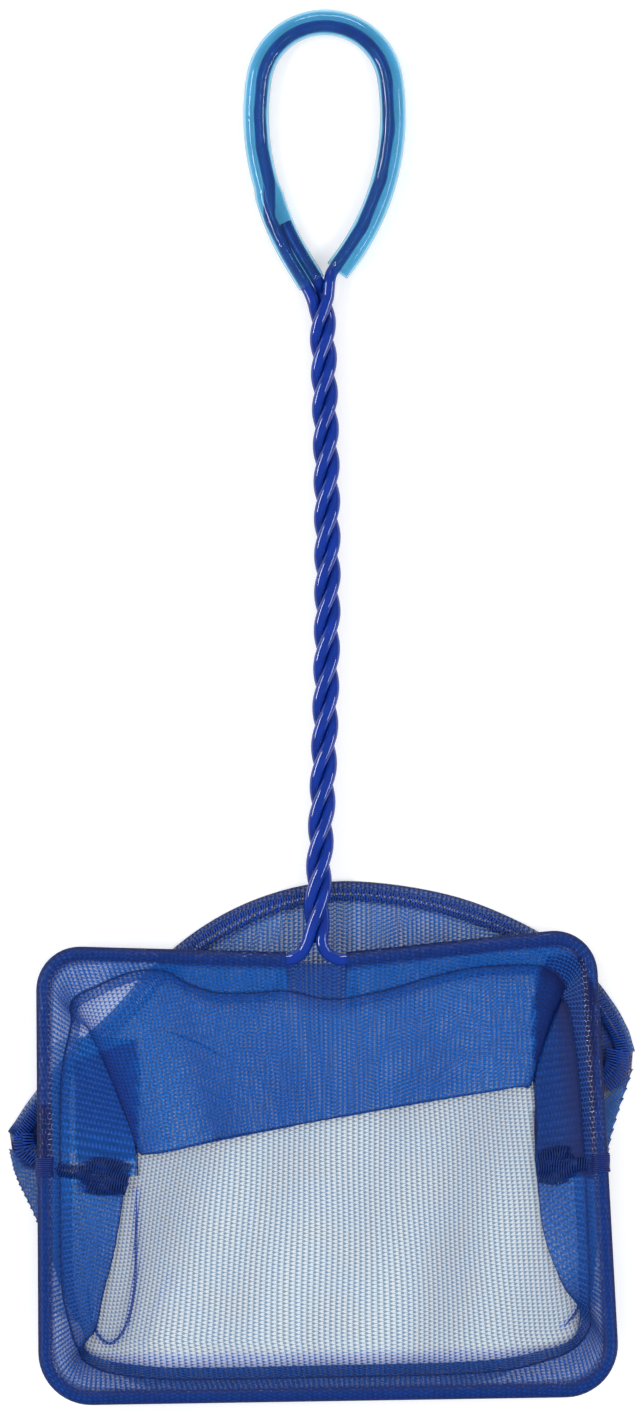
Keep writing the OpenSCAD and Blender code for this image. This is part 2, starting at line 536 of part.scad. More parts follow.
module lower_hem() {
    color("navy")
        frame_pose() {
            hem_bar(left_mid_lower, bends[1][4], 0, 1);
            hem_bend(bends[1]);
            hem_bar(bends[1][5], bends[2][4], 1, 1);
            hem_bend(bends[2]);
            hem_bar(bends[2][5], right_mid_lower, 1, 0);
        }
}

module upper_hem_left() {
    color("navy")
        frame_pose() {
            hem_bar(left_neck - unit(left_neck - bends[0][4]) * seat_gap, bends[0][4], 0, 1);
            hem_bend(bends[0]);
            hem_bar(bends[0][5], left_mid_upper, 1, 0);
        }
}

module upper_hem_right() {
    color("navy")
        frame_pose() {
            hem_bar(right_mid_upper, bends[3][4], 0, 1);
            hem_bend(bends[3]);
            hem_bar(bends[3][5], right_neck - unit(right_neck - bends[3][5]) * seat_gap, 1, 0);
        }
}

module lower_panel() {
    color("lightsteelblue")
        cloth(lower_grid);
}

module upper_panel() {
    color("lightsteelblue")
        cloth(upper_grid);
}

// The hem's stitches lie on the front of the cloth, along each grid's second point.
thread_sides = 4;
thread_lift = cloth_t / 2 + thread_d / 2 + seat_gap;
function stitch_line(grid) = [for (i = [0:len(grid) - 1]) grid[i][1] - normal_at(grid, i, 1) * thread_lift];
module lower_hem_thread() {
    color("midnightblue")
        swept(stitch_line(lower_grid), thread_d / 2, thread_sides);
}

module upper_hem_thread() {
    color("midnightblue")
        swept(stitch_line(upper_grid), thread_d / 2, thread_sides);
}

// The overlock seam covers the meeting edges of the two panels.
module bag_seam() {
    near_line = inset(lower_outline, rim_w - seam_w / 2 + 2 * seat_gap);
    far_line = inset(lower_outline, rim_w + seam_w / 2 + 2 * seat_gap);
    color("darkslateblue")
        translate([0, 0, z_mid + cloth_t / 2 + seat_gap])
            linear_extrude(height = seam_t)
                polygon(concat(near_line, backwards(far_line)));
}

// Each side seam runs down the front of the bag from the hoop to the fold.
module side_seam(mid, last) {
    h = posed(flat(mid));
    way = last - h;
    l = norm(way);
    color("darkslateblue")
        translate(h)
            rotate([0, -asin(way[2] / l), atan2(way[1], way[0])])
                translate([edge_in + seat_gap, -seam_w / 2, cloth_t / 2 + seat_gap])
                    cube([l - edge_in - seat_gap, seam_w, seam_t]);
}
module left_side_seam() {
    side_seam(left_mid, (lower_grid[0][4] + upper_grid[0][4]) / 2);
}

module right_side_seam() {
    side_seam(right_mid, (lower_grid[len(lower_grid) - 1][4] + upper_grid[len(upper_grid) - 1][4]) / 2);
}

// A bar of thread round the outer side of the hem, open towards the cloth.
bartack_turn = 200;
left_bartack_start = 5;
right_bartack_start = 155;
module bartack(mid, up, start) {
    color("midnightblue")
        frame_pose()
            translate(flat(mid))
                rotate([0, 0, angle_of(up)])
                    rotate([0, 90, 0])
                        rotate([0, 0, start])
                            rotate_extrude(angle = bartack_turn, $fn = tube_faces)
                                translate([hem_r + seat_gap, -bartack_l / 2])
                                    square([bartack_wall, bartack_l]);
}
module left_bartack() {
    bartack(left_mid, left_up, left_bartack_start);
}

module right_bartack() {
    bartack(right_mid, right_up, right_bartack_start);
}

wire_core();
wire_coating();
grip_sleeve();
lower_hem();
upper_hem_left();
upper_hem_right();
lower_panel();
upper_panel();
lower_hem_thread();
upper_hem_thread();
bag_seam();
left_side_seam();
right_side_seam();
left_bartack();
right_bartack();
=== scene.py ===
"""Aquarium fish net lying flat: coated wire, clear sleeve, knitted bag, hems, seams and stitches."""
import math

import bpy
import numpy as np
from bpy.props import FloatProperty, FloatVectorProperty, IntProperty, PointerProperty
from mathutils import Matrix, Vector
from mathutils.kdtree import KDTree


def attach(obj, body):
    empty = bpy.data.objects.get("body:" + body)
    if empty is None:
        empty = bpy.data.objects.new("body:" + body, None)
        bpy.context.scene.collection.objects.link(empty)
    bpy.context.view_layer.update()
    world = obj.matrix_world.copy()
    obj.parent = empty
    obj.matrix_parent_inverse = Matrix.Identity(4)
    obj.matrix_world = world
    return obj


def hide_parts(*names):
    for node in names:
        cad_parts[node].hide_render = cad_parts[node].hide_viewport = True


bl_info = {
    "name": "Fish Net Looks",
    "version": (1, 0, 0),
    "blender": (4, 2, 0),
    "location": "3D View > Sidebar > Fish Net",
    "description": "Builds the knitted bag, wire, sleeve, seams and studio of a flat fish net",
    "category": "Object",
}

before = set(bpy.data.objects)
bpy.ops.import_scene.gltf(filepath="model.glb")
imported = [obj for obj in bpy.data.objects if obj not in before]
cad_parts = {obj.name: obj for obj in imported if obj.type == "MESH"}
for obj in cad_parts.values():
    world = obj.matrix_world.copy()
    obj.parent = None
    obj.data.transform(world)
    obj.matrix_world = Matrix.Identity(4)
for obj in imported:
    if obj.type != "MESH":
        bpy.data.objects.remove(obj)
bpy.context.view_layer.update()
MM = 0.001
BODY = "root"

# Sizes shared with the part's source, in millimetres and degrees. First the wire and its shaft.
WIRE_D, STRAND_GAP = 3.2, 0.18
STRAND_R = (WIRE_D + STRAND_GAP) / math.sqrt(3)
SHAFT_L, SHAFT_BOW = 167.8, 2.2
SHAFT_TURN, SKEW_SHARE = 2030, 0.086
FOOT_X, HEAD_X = -1.5, 0.1
RIGHT_PHASE, LEFT_PHASE, TAIL_PHASE = 40, 160, 280
# The hanging loop: each leg is a list of stretches, as (radius, turn, straight length).
CROWN_R, SIDE_R, CROWN_H, LOOP_X = 17.5, 64.5, 55.8, 0.8
CROWN_TURN, RIGHT_TURN, LEFT_TURN, FLARE_TURN = 81.2, 48.3, 24.8, 15
FLARE_L, MOUTH_L = 4, 8.5
RIGHT_LEG = [(CROWN_R, CROWN_TURN, 0), (SIDE_R, RIGHT_TURN, 0)]
LEFT_LEG = [(CROWN_R, CROWN_TURN, 0), (SIDE_R, LEFT_TURN, 0), (0, 0, FLARE_L), (SIDE_R, FLARE_TURN, 0),
            (0, 0, MOUTH_L)]
CROWN_TOP = np.array([LOOP_X, SHAFT_L + CROWN_H + CROWN_R, 0.0])
# The sleeve's radii, and how far the wires lie off its middle, alone and as a pair.
SLEEVE_R, BORE_R = 3.45, 2.95
WIDE_R, WIDE_BORE_R = 3.9, 3.5
WIRE_OFF, PAIR_OFF = 0.945, 1.7
# The hoop, on the flat frame: widths at the neck and the far bar, height, and how its corners stand off a
# rectangle.
HOOP_TOP_W, HOOP_W, HOOP_H = 143.5, 149.2, 115.4
LEFT_RISE, RIGHT_RISE, FAR_RISE, HOOP_SKEW = 1.7, 6.6, 2.4, 3.6
SHOULDER_R, CORNER_R, NECK_R = 9.5, 12, 6
NECK_Y = -NECK_R - 0.1 * WIRE_D
HEM_R = 2.05
FRAME_TILT = math.radians(1.2)
CROWN_Z = 3.48
JOINT_STEP = 0.03
# The bag: heights of its three flat layers, radius of its folds, and widths of its rim and seam.
BAG_HALF_W, BAG_DEPTH = 83.2, 134.2
HALF_CLOTH = 0.25
Z_TABLE, Z_MID, Z_FRONT = 0.25, 1.45, 2.65
FOLD_R, RIM_W, SEAM_W = 0.6, 3.4, 3.2

# Points on each stretch of the wire's route, and the longest part between two points, in millimetres.
STRAND_STEPS, CROWN_STEPS, SIDE_STEPS, TAIL_STEPS, BLEND_STEPS, BEND_STEPS = 57, 5, 4, 3, 5, 7
ROUTE_PART = 3.5
# The cut end behind the neck, in wire diameters, the lift of a wire that passes over another at the shaft's
# head, in strand radii, and how hard the wire pulls straight at the neck.
CUT_END_SHARE, HEAD_LIFT_SHARE, NECK_PULL = 0.6, 0.48, 1.3


def unit(v):
    """The directions at length 1."""
    v = np.asarray(v, float)
    return v / np.linalg.norm(v, axis=-1, keepdims=True)


def mix(a, b, t):
    """What lies the share t of the way from a to b."""
    return a + (b - a) * t


def fade(t):
    """A share that leaves 0 and reaches 1 gently."""
    return t * t * (3 - 2 * t)


def smooth_line(points, steps):
    """The points with a smooth curve through them, steps parts to each span."""
    p = np.asarray(points, float)
    q = np.concatenate([2 * p[:1] - p[1:2], p, 2 * p[-1:] - p[-2:-1]])
    out = []
    for i in range(len(q) - 3):
        a, b, c, d = q[i : i + 4]
        for t in (k / steps for k in range(steps)):
            bent = (2 * a - 5 * b + 4 * c - d) * t**2 + (3 * b - a - 3 * c + d) * t**3
            out.append(0.5 * (2 * b + (c - a) * t + bent))
    return np.array(out + [p[-1]])


def lengths(points):
    """How far each point lies along the line."""
    return np.concatenate([[0], np.cumsum(np.linalg.norm(np.diff(points, axis=0), axis=1))])


def even_line(points, count):
    """The line resampled to count points at equal distances."""
    at = lengths(points)
    want = np.linspace(0, at[-1], count)
    return np.stack([np.interp(want, at, points[:, k]) for k in range(points.shape[1])], axis=1)


# The wire's route, as in the part's source.
def strand(start, u):
    """A point of one strand of the shaft, u from 0 at the head to 1 at the foot, on the flat frame."""
    a = math.radians(start + SHAFT_TURN * (u + SKEW_SHARE * u * (1 - u)))
    x = mix(HEAD_X, FOOT_X, u) + SHAFT_BOW * math.sin(math.pi * u)
    return np.array([x + STRAND_R * math.cos(a), SHAFT_L * (1 - u), STRAND_R * math.sin(a)])


def strand_way(start, u):
    """The strand's direction there, towards the foot."""
    near = 0.002
    return unit(strand(start, u + near) - strand(start, u - near))


def blend(p, way_p, q, way_q, pull=1.0, lift=0.0):
    """Points of a smooth run between two places, p and q left out, lifted in the middle."""
    reach = np.linalg.norm(q - p) * pull
    out = []
    for i in range(1, BLEND_STEPS + 1):
        t = i / (BLEND_STEPS + 1)
        a, b = t**3, t**2
        point = p * (2 * a - 3 * b + 1) + way_p * reach * (a - 2 * b + t)
        point = point + q * (3 * b - 2 * a) + way_q * reach * (a - b)
        out.append(point + np.array([0, 0, lift * math.sin(math.pi * t) ** 2]))
    return out


def way_of(side, h):
    """Direction down a leg of the loop that has turned h degrees; side is 1 on the right, -1 on the left."""
    return np.array([side * math.cos(math.radians(h)), -math.sin(math.radians(h)), 0])


def inner_of(side, h):
    """Direction from that place to the inside of the loop."""
    return np.array([-side * math.sin(math.radians(h)), -math.cos(math.radians(h)), 0])


def leg_start(side, leg, i):
    """(place, degrees turned) where stretch i of the leg starts."""
    p, h = CROWN_TOP, 0
    for radius, turn, length in leg[:i]:
        p = p + way_of(side, h) * length + (inner_of(side, h) - inner_of(side, h + turn)) * radius
        h += turn
    return p, h


def leg_point(side, leg, i, t, off):
    """The place the share t along stretch i, set off towards the inside."""
    p, h = leg_start(side, leg, i)
    radius, turn, length = leg[i]
    p = p + way_of(side, h) * length * t + (inner_of(side, h) - inner_of(side, h + turn * t)) * radius
    return p + inner_of(side, h + turn * t) * off


def leg_way(side, leg, i, t):
    """Direction of the leg at the share t along stretch i."""
    return way_of(side, leg_start(side, leg, i)[1] + leg[i][1] * t)


HOOP_CORNERS = [
    np.array([FOOT_X - HOOP_TOP_W / 2, NECK_Y + LEFT_RISE]),
    np.array([FOOT_X + HOOP_SKEW - HOOP_W / 2, NECK_Y - HOOP_H]),
    np.array([FOOT_X + HOOP_SKEW + HOOP_W / 2, NECK_Y - (HOOP_H - FAR_RISE)]),
    np.array([FOOT_X + HOOP_TOP_W / 2, NECK_Y + RIGHT_RISE]),
]
LEFT_NECK = np.array([FOOT_X - STRAND_R - NECK_R, NECK_Y])
RIGHT_NECK = np.array([FOOT_X + STRAND_R + NECK_R, NECK_Y])


def hoop_bend(i):
    """(centre, radius, start angle, turn, first end, last end) of one of the hoop's corners."""
    c, r = HOOP_CORNERS[i], (SHOULDER_R, CORNER_R, CORNER_R, SHOULDER_R)[i]
    a = unit((LEFT_NECK if i == 0 else HOOP_CORNERS[i - 1]) - c)
    b = unit((RIGHT_NECK if i == 3 else HOOP_CORNERS[i + 1]) - c)
    half = math.acos(float(a @ b)) / 2
    centre = c + unit(a + b) * r / math.sin(half)
    first, last = c + a * r / math.tan(half), c + b * r / math.tan(half)
    start = math.atan2(*(first - centre)[::-1])
    return centre, r, start, math.pi - 2 * half, first, last


BENDS = [hoop_bend(i) for i in range(4)]


def bend_points(i, count):
    """Points round one of the hoop's corners, count parts between its ends."""
    centre, r, start, turn = BENDS[i][:4]
    return [centre + r * np.array([math.cos(start + turn * k / count), math.sin(start + turn * k / count)])
            for k in range(count + 1)]


def flat(p):
    """A place on the flat frame's own plane."""
    return np.array([p[0], p[1], 0.0])


FAR_REACH = (CROWN_TOP[1] - (BENDS[1][0][1] - CORNER_R - HEM_R - JOINT_STEP)) * math.cos(FRAME_TILT)
SHIFT_Y = (FAR_REACH - SLEEVE_R - JOINT_STEP) / 2 - CROWN_TOP[1]
BAG_Y = NECK_Y - HOOP_H + FAR_RISE / 2 + SHIFT_Y


def posed(points):
    """Points of the flat frame, tipped and moved to where the frame lies, in millimetres."""
    p = np.atleast_2d(np.asarray(points, float))
    y = p[:, 1] - CROWN_TOP[1]
    c, s = math.cos(FRAME_TILT), math.sin(FRAME_TILT)
    out = np.stack([p[:, 0], CROWN_TOP[1] + SHIFT_Y + y * c + p[:, 2] * s, CROWN_Z - y * s + p[:, 2] * c],
                   axis=1)
    return out[0] if np.ndim(points) == 1 else out


def wire_route():
    """The whole wire's centre line, from the cut end behind the neck to the one in the sleeve."""
    def down(start, skip=0):
        """A strand of the shaft, from head to foot."""
        return [strand(start, k / STRAND_STEPS) for k in range(skip, STRAND_STEPS + 1)]

    def legs(side, leg, i, count, first=1):
        """A single wire along stretch i of a leg of the loop."""
        return [leg_point(side, leg, i, k / count, WIRE_OFF) for k in range(first, count + 1)]

    right = legs(1, RIGHT_LEG, 0, CROWN_STEPS) + legs(1, RIGHT_LEG, 1, SIDE_STEPS)
    left = legs(-1, LEFT_LEG, 0, CROWN_STEPS, 0) + legs(-1, LEFT_LEG, 1, TAIL_STEPS)
    left += [leg_point(-1, LEFT_LEG, i, t, -PAIR_OFF) for i, t in ((3, 0.3), (4, 0), (4, 1))]
    tail = [leg_point(-1, LEFT_LEG, i, t, PAIR_OFF) for i, t in ((4, 1), (4, 0), (3, 0.75), (3, 0.45))]
    mouth_way = leg_way(-1, LEFT_LEG, 4, 1)
    lift = STRAND_R * HEAD_LIFT_SHARE
    skip = 1 / STRAND_STEPS
    route = [strand(RIGHT_PHASE, 1) + strand_way(RIGHT_PHASE, 1) * WIRE_D * CUT_END_SHARE]
    route += down(RIGHT_PHASE)[::-1]
    route += blend(strand(RIGHT_PHASE, 0), -strand_way(RIGHT_PHASE, 0),
                   right[-1], -leg_way(1, RIGHT_LEG, 1, 1), lift=lift)
    route += right[::-1] + left
    route += blend(left[-1], mouth_way, strand(LEFT_PHASE, skip), strand_way(LEFT_PHASE, skip))
    route += down(LEFT_PHASE, 1)
    bends = [p for i in range(4) for p in bend_points(i, BEND_STEPS)]
    hoop = [flat(p) for p in (LEFT_NECK, *bends, RIGHT_NECK)]
    route += blend(strand(LEFT_PHASE, 1), strand_way(LEFT_PHASE, 1),
                   hoop[-1], flat(unit(BENDS[3][5] - RIGHT_NECK)), NECK_PULL)
    route += hoop[::-1]
    route += blend(hoop[0], flat(unit(LEFT_NECK - BENDS[0][4])),
                   strand(TAIL_PHASE, 1), -strand_way(TAIL_PHASE, 1), NECK_PULL)
    route += down(TAIL_PHASE)[::-1]
    route += blend(strand(TAIL_PHASE, 0), -strand_way(TAIL_PHASE, 0), tail[0], -mouth_way, lift=-lift)
    route += tail
    full = []
    for p, q in zip(route, route[1:]):
        parts = max(1, round(np.linalg.norm(q - p) / ROUTE_PART))
        full += [mix(p, q, k / parts) for k in range(parts)]
    return posed(np.array(full + route[-1:]))


# The bag's layout: shares of its half width and depth at stations along the hoop.
# [station, front fold x, y, outline x, y] for the upper panel.
UPPER_SHARES = np.array([
    [0.00, -0.590, 0.425, -1.000, 0.486], [0.05, -0.588, 0.500, -0.991, 0.516],
    [0.12, -0.586, 0.600, -0.927, 0.585], [0.17, -0.583, 0.655, -0.855, 0.638],
    [0.20, -0.583, 0.590, -0.800, 0.676], [0.23, -0.586, 0.480, -0.722, 0.720],
    [0.26, -0.540, 0.466, -0.640, 0.768], [0.33, -0.350, 0.490, -0.498, 0.861],
    [0.42, -0.157, 0.514, -0.259, 0.953], [0.50, 0.011, 0.533, -0.014, 1.004],
    [0.58, 0.202, 0.555, 0.234, 0.999], [0.67, 0.410, 0.577, 0.456, 0.969],
    [0.74, 0.620, 0.598, 0.665, 0.920], [0.765, 0.668, 0.606, 0.740, 0.889],
    [0.80, 0.672, 0.740, 0.840, 0.838], [0.84, 0.674, 0.750, 0.905, 0.792],
    [0.88, 0.675, 0.660, 0.956, 0.742], [0.95, 0.682, 0.530, 1.000, 0.689],
    [1.00, 0.682, 0.449, 0.994, 0.650]])
# [station, front fold x, y, side fold x, y, outline x, y] for the lower panel.
LOWER_SHARES = np.array([
    [0.00, -0.628, 0.405, -0.991, 0.476, -1.000, 0.512], [0.05, -0.638, 0.358, -0.968, 0.417, -0.978, 0.531],
    [0.10, -0.657, 0.279, -0.908, 0.334, -0.908, 0.594], [0.15, -0.692, 0.190, -0.847, 0.230, -0.784, 0.683],
    [0.20, -0.714, 0.121, -0.787, 0.141, -0.663, 0.752], [0.25, -0.737, 0.085, -0.715, 0.110, -0.545, 0.835],
    [0.33, -0.539, 0.076, -0.533, 0.104, -0.370, 0.920], [0.42, -0.272, 0.075, -0.269, 0.103, -0.189, 0.975],
    [0.50, 0.002, 0.077, 0.002, 0.105, 0.011, 1.004], [0.58, 0.266, 0.080, 0.266, 0.108, 0.218, 1.000],
    [0.67, 0.520, 0.084, 0.517, 0.112, 0.440, 0.973], [0.75, 0.765, 0.104, 0.750, 0.126, 0.631, 0.926],
    [0.80, 0.819, 0.157, 0.847, 0.157, 0.758, 0.880], [0.85, 0.765, 0.210, 0.876, 0.255, 0.860, 0.821],
    [0.90, 0.711, 0.299, 0.895, 0.368, 0.924, 0.772], [0.95, 0.692, 0.377, 0.921, 0.496, 0.975, 0.717],
    [1.00, 0.685, 0.435, 0.991, 0.634, 1.000, 0.669]])
# How far the lower panel is folded along the hoop: wholly at the sides, and not in the middle.
FOLD_STATIONS, FOLD_AMOUNTS = (0, 0.2, 0.25, 0.75, 0.8, 1), (1, 1, 0, 0, 1, 1)
# Where the thread bars stand, as shares of each side bar from the neck.
LEFT_BARTACK, RIGHT_BARTACK = 0.482, 0.502
# [station, distance of the stitch line from the wire's middle]: the straight hem cuts the hoop's corners.
UPPER_STITCH = np.array([
    [0, 4.2], [0.08, 4.5], [0.12, 5.7], [0.15, 7.5], [0.18, 9.3], [0.21, 10.8], [0.24, 10.2], [0.27, 6.9],
    [0.3, 4.3], [0.33, 4.1], [0.35, 7.2], [0.38, 9.6], [0.42, 9.3], [0.46, 8.5], [0.5, 10.5], [0.54, 10.2],
    [0.58, 9], [0.62, 7.2], [0.67, 6], [0.73, 7.2], [0.765, 10.2], [0.8, 10.2], [0.84, 6.7], [0.9, 5.1],
    [1, 4.6]])
LOWER_STITCH = np.array([
    [0, 4.2], [0.08, 4.2], [0.13, 5.1], [0.16, 6.9], [0.19, 9.3], [0.22, 11.4], [0.25, 10.5], [0.28, 7.8],
    [0.32, 6], [0.37, 5.4], [0.5, 5.5], [0.62, 5.7], [0.69, 6.9], [0.73, 9.6], [0.76, 11.7], [0.79, 11.4],
    [0.83, 7.8], [0.87, 5.7], [0.93, 4.8], [1, 4.4]])
# Tucks pressed into the upper panel under its front layer, beside the hoop's side bars: [first station, last
# station, station where they have faded, pleats, outer edge x, inner edge x, y at the first station, y at the
# last station].
TUCKS = ((0.0, 0.2, 0.26, 1, -65.2, -49.1, -120.2, -88.4), (1.0, 0.8, 0.74, 2, 71.6, 56.5, -123.4, -70.5))
# Creases that stand up in the single layer on the table: places along each one.
CREASES = (
    [(-48.8, -127.8), (-49.0, -140), (-49.4, -153.8), (-51.8, -164.1), (-56.2, -168.6), (-60.6, -163.3),
     (-61.9, -152)],
    [(70.9, -147.2), (69.1, -155), (67.2, -160.4), (64, -164)],
    [(-40, -150), (-44.5, -160), (-47, -169)],
)
CREASE_HEIGHTS, CREASE_W = (1.5, 1.3, 0.5), 0.9
# Places where the cloth lies gathered: [outline on the table, plies, brightness against the hem's thread].
# The thread in these places is darker: painted shade of the stacked plies.
DENSE = (
    ([(-82.5, -116.2), (-74.5, -105), (-71, -105), (-71, -123.5), (-78.4, -122)], 2.6, 0.8),
    ([(72, -82), (76, -85), (82.5, -93), (80.5, -100.5), (73, -102.5)], 1.4, 1.6),
    ([(-65.2, -93.7), (-48.8, -88.1), (-48.8, -118.8), (-52.3, -120.2), (-53.3, -130), (-64.2, -128.1)],
     1.8, 1.7),
    ([(56.4, -98), (56.6, -72), (60, -66), (68, -66), (72, -75), (72, -124), (57, -124)], 3.2, 0.4),
)
# Lines pressed into the front layer: places along each one with their heights.
PRESSED = ([(-41.4, -85.8, 3.2), (-33.4, -88.6, 3.1), (-25.5, -92.9, 3.0)],)

# The panels' walls between the stitch line and the front fold: shares of the way where a row is given its
# sag, how much each wall sags, and the most of the way that the hem may take.
WALL_SHARES, UPPER_SAG, LOWER_SAG, MOST_HEM = (0.3, 0.5, 0.7, 0.86), 0.35, 2.4, 0.9
# The open front of the lower panel: shares of the drop at which its rows lie, and of the way along the table.
DROP_SHARES = (0.12, 0.24, 0.34, 0.42, 0.5, 0.58, 0.68, 0.8, 0.9, 1)
TABLE_SHARES = (0.03, 0.25, 0.5, 0.75, 0.97, 1)
# Rows of the upper panel's middle layer, how far its pleats lie over each other, and its gap to the rim.
MIDDLE_ROWS, PLEAT_STEP, RIM_GAP = 4, 0.2, 0.6


def creased(points):
    """The points, raised where a crease runs through the single layer on the table."""
    lift = np.zeros(len(points))
    for crease, height in zip(CREASES, CREASE_HEIGHTS):
        line = even_line(smooth_line(crease, 6), 60)
        gap = np.sqrt(np.min((points[:, :1] - line[:, 0]) ** 2 + (points[:, 1:2] - line[:, 1]) ** 2, axis=-1))
        lift = np.maximum(lift, height * np.exp(-((gap / CREASE_W) ** 2)))
    on_table = points[:, 2] < Z_TABLE + 0.5
    return points + np.stack([0 * lift, 0 * lift, lift * on_table], axis=1)


def inside(outline, x, y):
    """Whether each place lies within the outline."""
    odd = np.zeros(x.shape, bool)
    for (x1, y1), (x2, y2) in zip(outline, outline[1:] + outline[:1]):
        if y1 != y2:
            odd ^= ((y1 > y) != (y2 > y)) & (x < (x2 - x1) * (y - y1) / (y2 - y1) + x1)
    return odd


def gathered(grid, plan):
    """How much more cloth lies at each point of the grid, seen from above, than on the flat cloth."""
    least, most, most_dense = 0.7, 4, 6
    cut, laid = (np.abs(np.cross(*np.gradient(g[..., :2], axis=(0, 1)))) for g in (plan, grid))
    ratio = np.clip(cut / np.maximum(laid, 0.2 * cut + 1e-9), least, most)
    for outline, plies, _ in DENSE:
        ratio[inside(outline, grid[..., 0], grid[..., 1])] *= plies
    return np.minimum(ratio, most_dense)


def spots(table, stations, column):
    """Places on the ground at the stations, from a column pair of a table of shares."""
    fine = smooth_line(table, 6)
    x = np.interp(stations, fine[:, 0], fine[:, column])
    y = np.interp(stations, fine[:, 0], fine[:, column + 1])
    return np.stack([x * BAG_HALF_W, BAG_Y + y * BAG_DEPTH], axis=1)


def hoop_half(upper):
    """The hoop's middle line along one panel, left to right, on the flat frame, from bartack to bartack."""
    if upper:
        line = bend_points(0, 12)[::-1] + [LEFT_NECK, RIGHT_NECK] + bend_points(3, 12)[::-1]
    else:
        line = bend_points(1, 12) + bend_points(2, 12)
    left_mid = mix(HOOP_CORNERS[0], HOOP_CORNERS[1], LEFT_BARTACK)
    return np.array([left_mid] + line + [mix(HOOP_CORNERS[3], HOOP_CORNERS[2], RIGHT_BARTACK)])


def inset(line, d):
    """The line on the ground moved d to its right."""
    w = unit(np.gradient(line, axis=0))
    return line + d * np.stack([w[:, 1], -w[:, 0]], axis=1)


def at_height(points, z):
    """Points on the ground, raised to one height."""
    return np.concatenate([points, np.full((len(points), 1), z)], axis=1)


NECK_STATIONS = [lengths(hoop_half(True))[k] / lengths(hoop_half(True))[-1] for k in (14, 15)]


def hoop_stations(upper, count):
    """(points on the hoop's middle line in place, their stations) at equal steps of a panel's hoop line."""
    line = even_line(hoop_half(upper), count)
    return posed(at_height(line, 0.0)), np.linspace(0, 1, count)


def stitch_in(table, stations):
    """Distance of the stitch line from the wire's middle at the stations."""
    fine = smooth_line(table, 5)
    return np.interp(stations, fine[:, 0], fine[:, 1])[:, None]


def tucked(p, k, stations, last_point):
    """Row k of the middle layer, moved to its place in the side tucks: the pleats' edges, then on out."""
    for first, last, faded, pleats, outer, inner, y_first, y_last in TUCKS:
        amount = np.clip((stations - faded) / (last - faded), 0, 1)[:, None]
        y = mix(y_first, y_last, np.clip((stations - first) / (last - first), 0, 1))
        edge = [np.stack([0 * y + x, y, 0 * y + Z_MID + PLEAT_STEP * (k + 1)], axis=1)
                for x in (outer, inner)]
        if k < 2 * pleats:
            place_to = edge[k % 2]
        else:
            place_to = mix(edge[1], last_point, (k + 1 - 2 * pleats) / (MIDDLE_ROWS + 1 - 2 * pleats))
        p = mix(p, place_to, fade(amount))
    return p


def upper_rows(count, start):
    """Rows of points down the upper panel; the first is at the start share of the stitch line's distance."""
    h, f = hoop_stations(True, count)
    fold = spots(UPPER_SHARES, f, 1)
    way = unit(fold - h[:, :2])
    c = fold - way * FOLD_R
    top = at_height(c, Z_FRONT)
    down = unit(top - h)
    reach = np.linalg.norm(top - h, axis=1)[:, None]
    sewn_at = np.minimum(stitch_in(UPPER_STITCH, f), MOST_HEM * reach)
    rows = [h + down * sewn_at * start, h + down * sewn_at]
    for t in WALL_SHARES:
        rows.append(h + down * mix(sewn_at, reach, t))
        rows[-1][:, 2] -= UPPER_SAG * np.sin(math.pi * t)
    rows.append(top)
    for a in (45, 90, 135):
        s, k = math.sin(math.radians(a)), math.cos(math.radians(a))
        rows.append(at_height(c + way * FOLD_R * s, Z_MID + FOLD_R + FOLD_R * k))
    folded_in = at_height(c, Z_MID)
    last_point = at_height(inset(spots(UPPER_SHARES, f, 3), RIM_W + RIM_GAP), Z_MID)
    rows.append(folded_in)
    for k in range(MIDDLE_ROWS):
        rows.append(tucked(mix(folded_in, last_point, 0.05 + k / MIDDLE_ROWS), k, f, last_point))
    rows.append(last_point)
    return np.stack(rows, axis=1)


def lower_rows(count, start):
    """Rows of points down the lower panel; the first is at the start share of the stitch line's distance."""
    h, g = hoop_stations(False, count)
    f, side, out = (spots(LOWER_SHARES, g, k) for k in (1, 3, 5))
    way = unit(f - h[:, :2])
    c = f - way * FOLD_R
    folded = fade(np.interp(g, FOLD_STATIONS, FOLD_AMOUNTS))[:, None]
    d = side - unit(side - f) * FOLD_R
    edge = inset(out, FOLD_R + HALF_CLOTH)
    rim = mix(out, edge, HALF_CLOTH / (FOLD_R + HALF_CLOTH))
    top = at_height(c, Z_FRONT)
    down = unit(top - h)
    sewn_at = np.minimum(stitch_in(LOWER_STITCH, g), MOST_HEM * np.linalg.norm(top - h, axis=1)[:, None])
    stitch = h + down * sewn_at
    last = at_height(d, Z_TABLE)
    fold = [mix(stitch, top, 0.33), mix(stitch, top, 0.67), top, at_height(f, Z_MID + FOLD_R),
            at_height(c, Z_MID), at_height(mix(c, d, 0.33), Z_MID), at_height(mix(c, d, 0.67), Z_MID),
            at_height(d, Z_MID), at_height(side, Z_TABLE + FOLD_R), last]
    rows = [h + down * sewn_at * start, stitch]
    for t, p in zip(DROP_SHARES, fold):
        wall = mix(stitch, last, t)
        wall[:, 2] -= LOWER_SAG * math.sin(math.pi * t)
        wall[:, 2] = np.maximum(wall[:, 2], Z_TABLE)
        rows.append(mix(wall, p, folded))
    rows += [at_height(mix(d, edge, t), Z_TABLE) for t in TABLE_SHARES]
    rows += [at_height(rim, Z_TABLE + FOLD_R), at_height(edge, Z_MID), at_height(inset(out, RIM_W), Z_MID)]
    return np.stack(rows, axis=1)


def along_rows(rows, along):
    """The rows as one even grid of points, along steps from hem to seam."""
    return np.stack([even_line(smooth_line(row, 6), along) for row in rows])


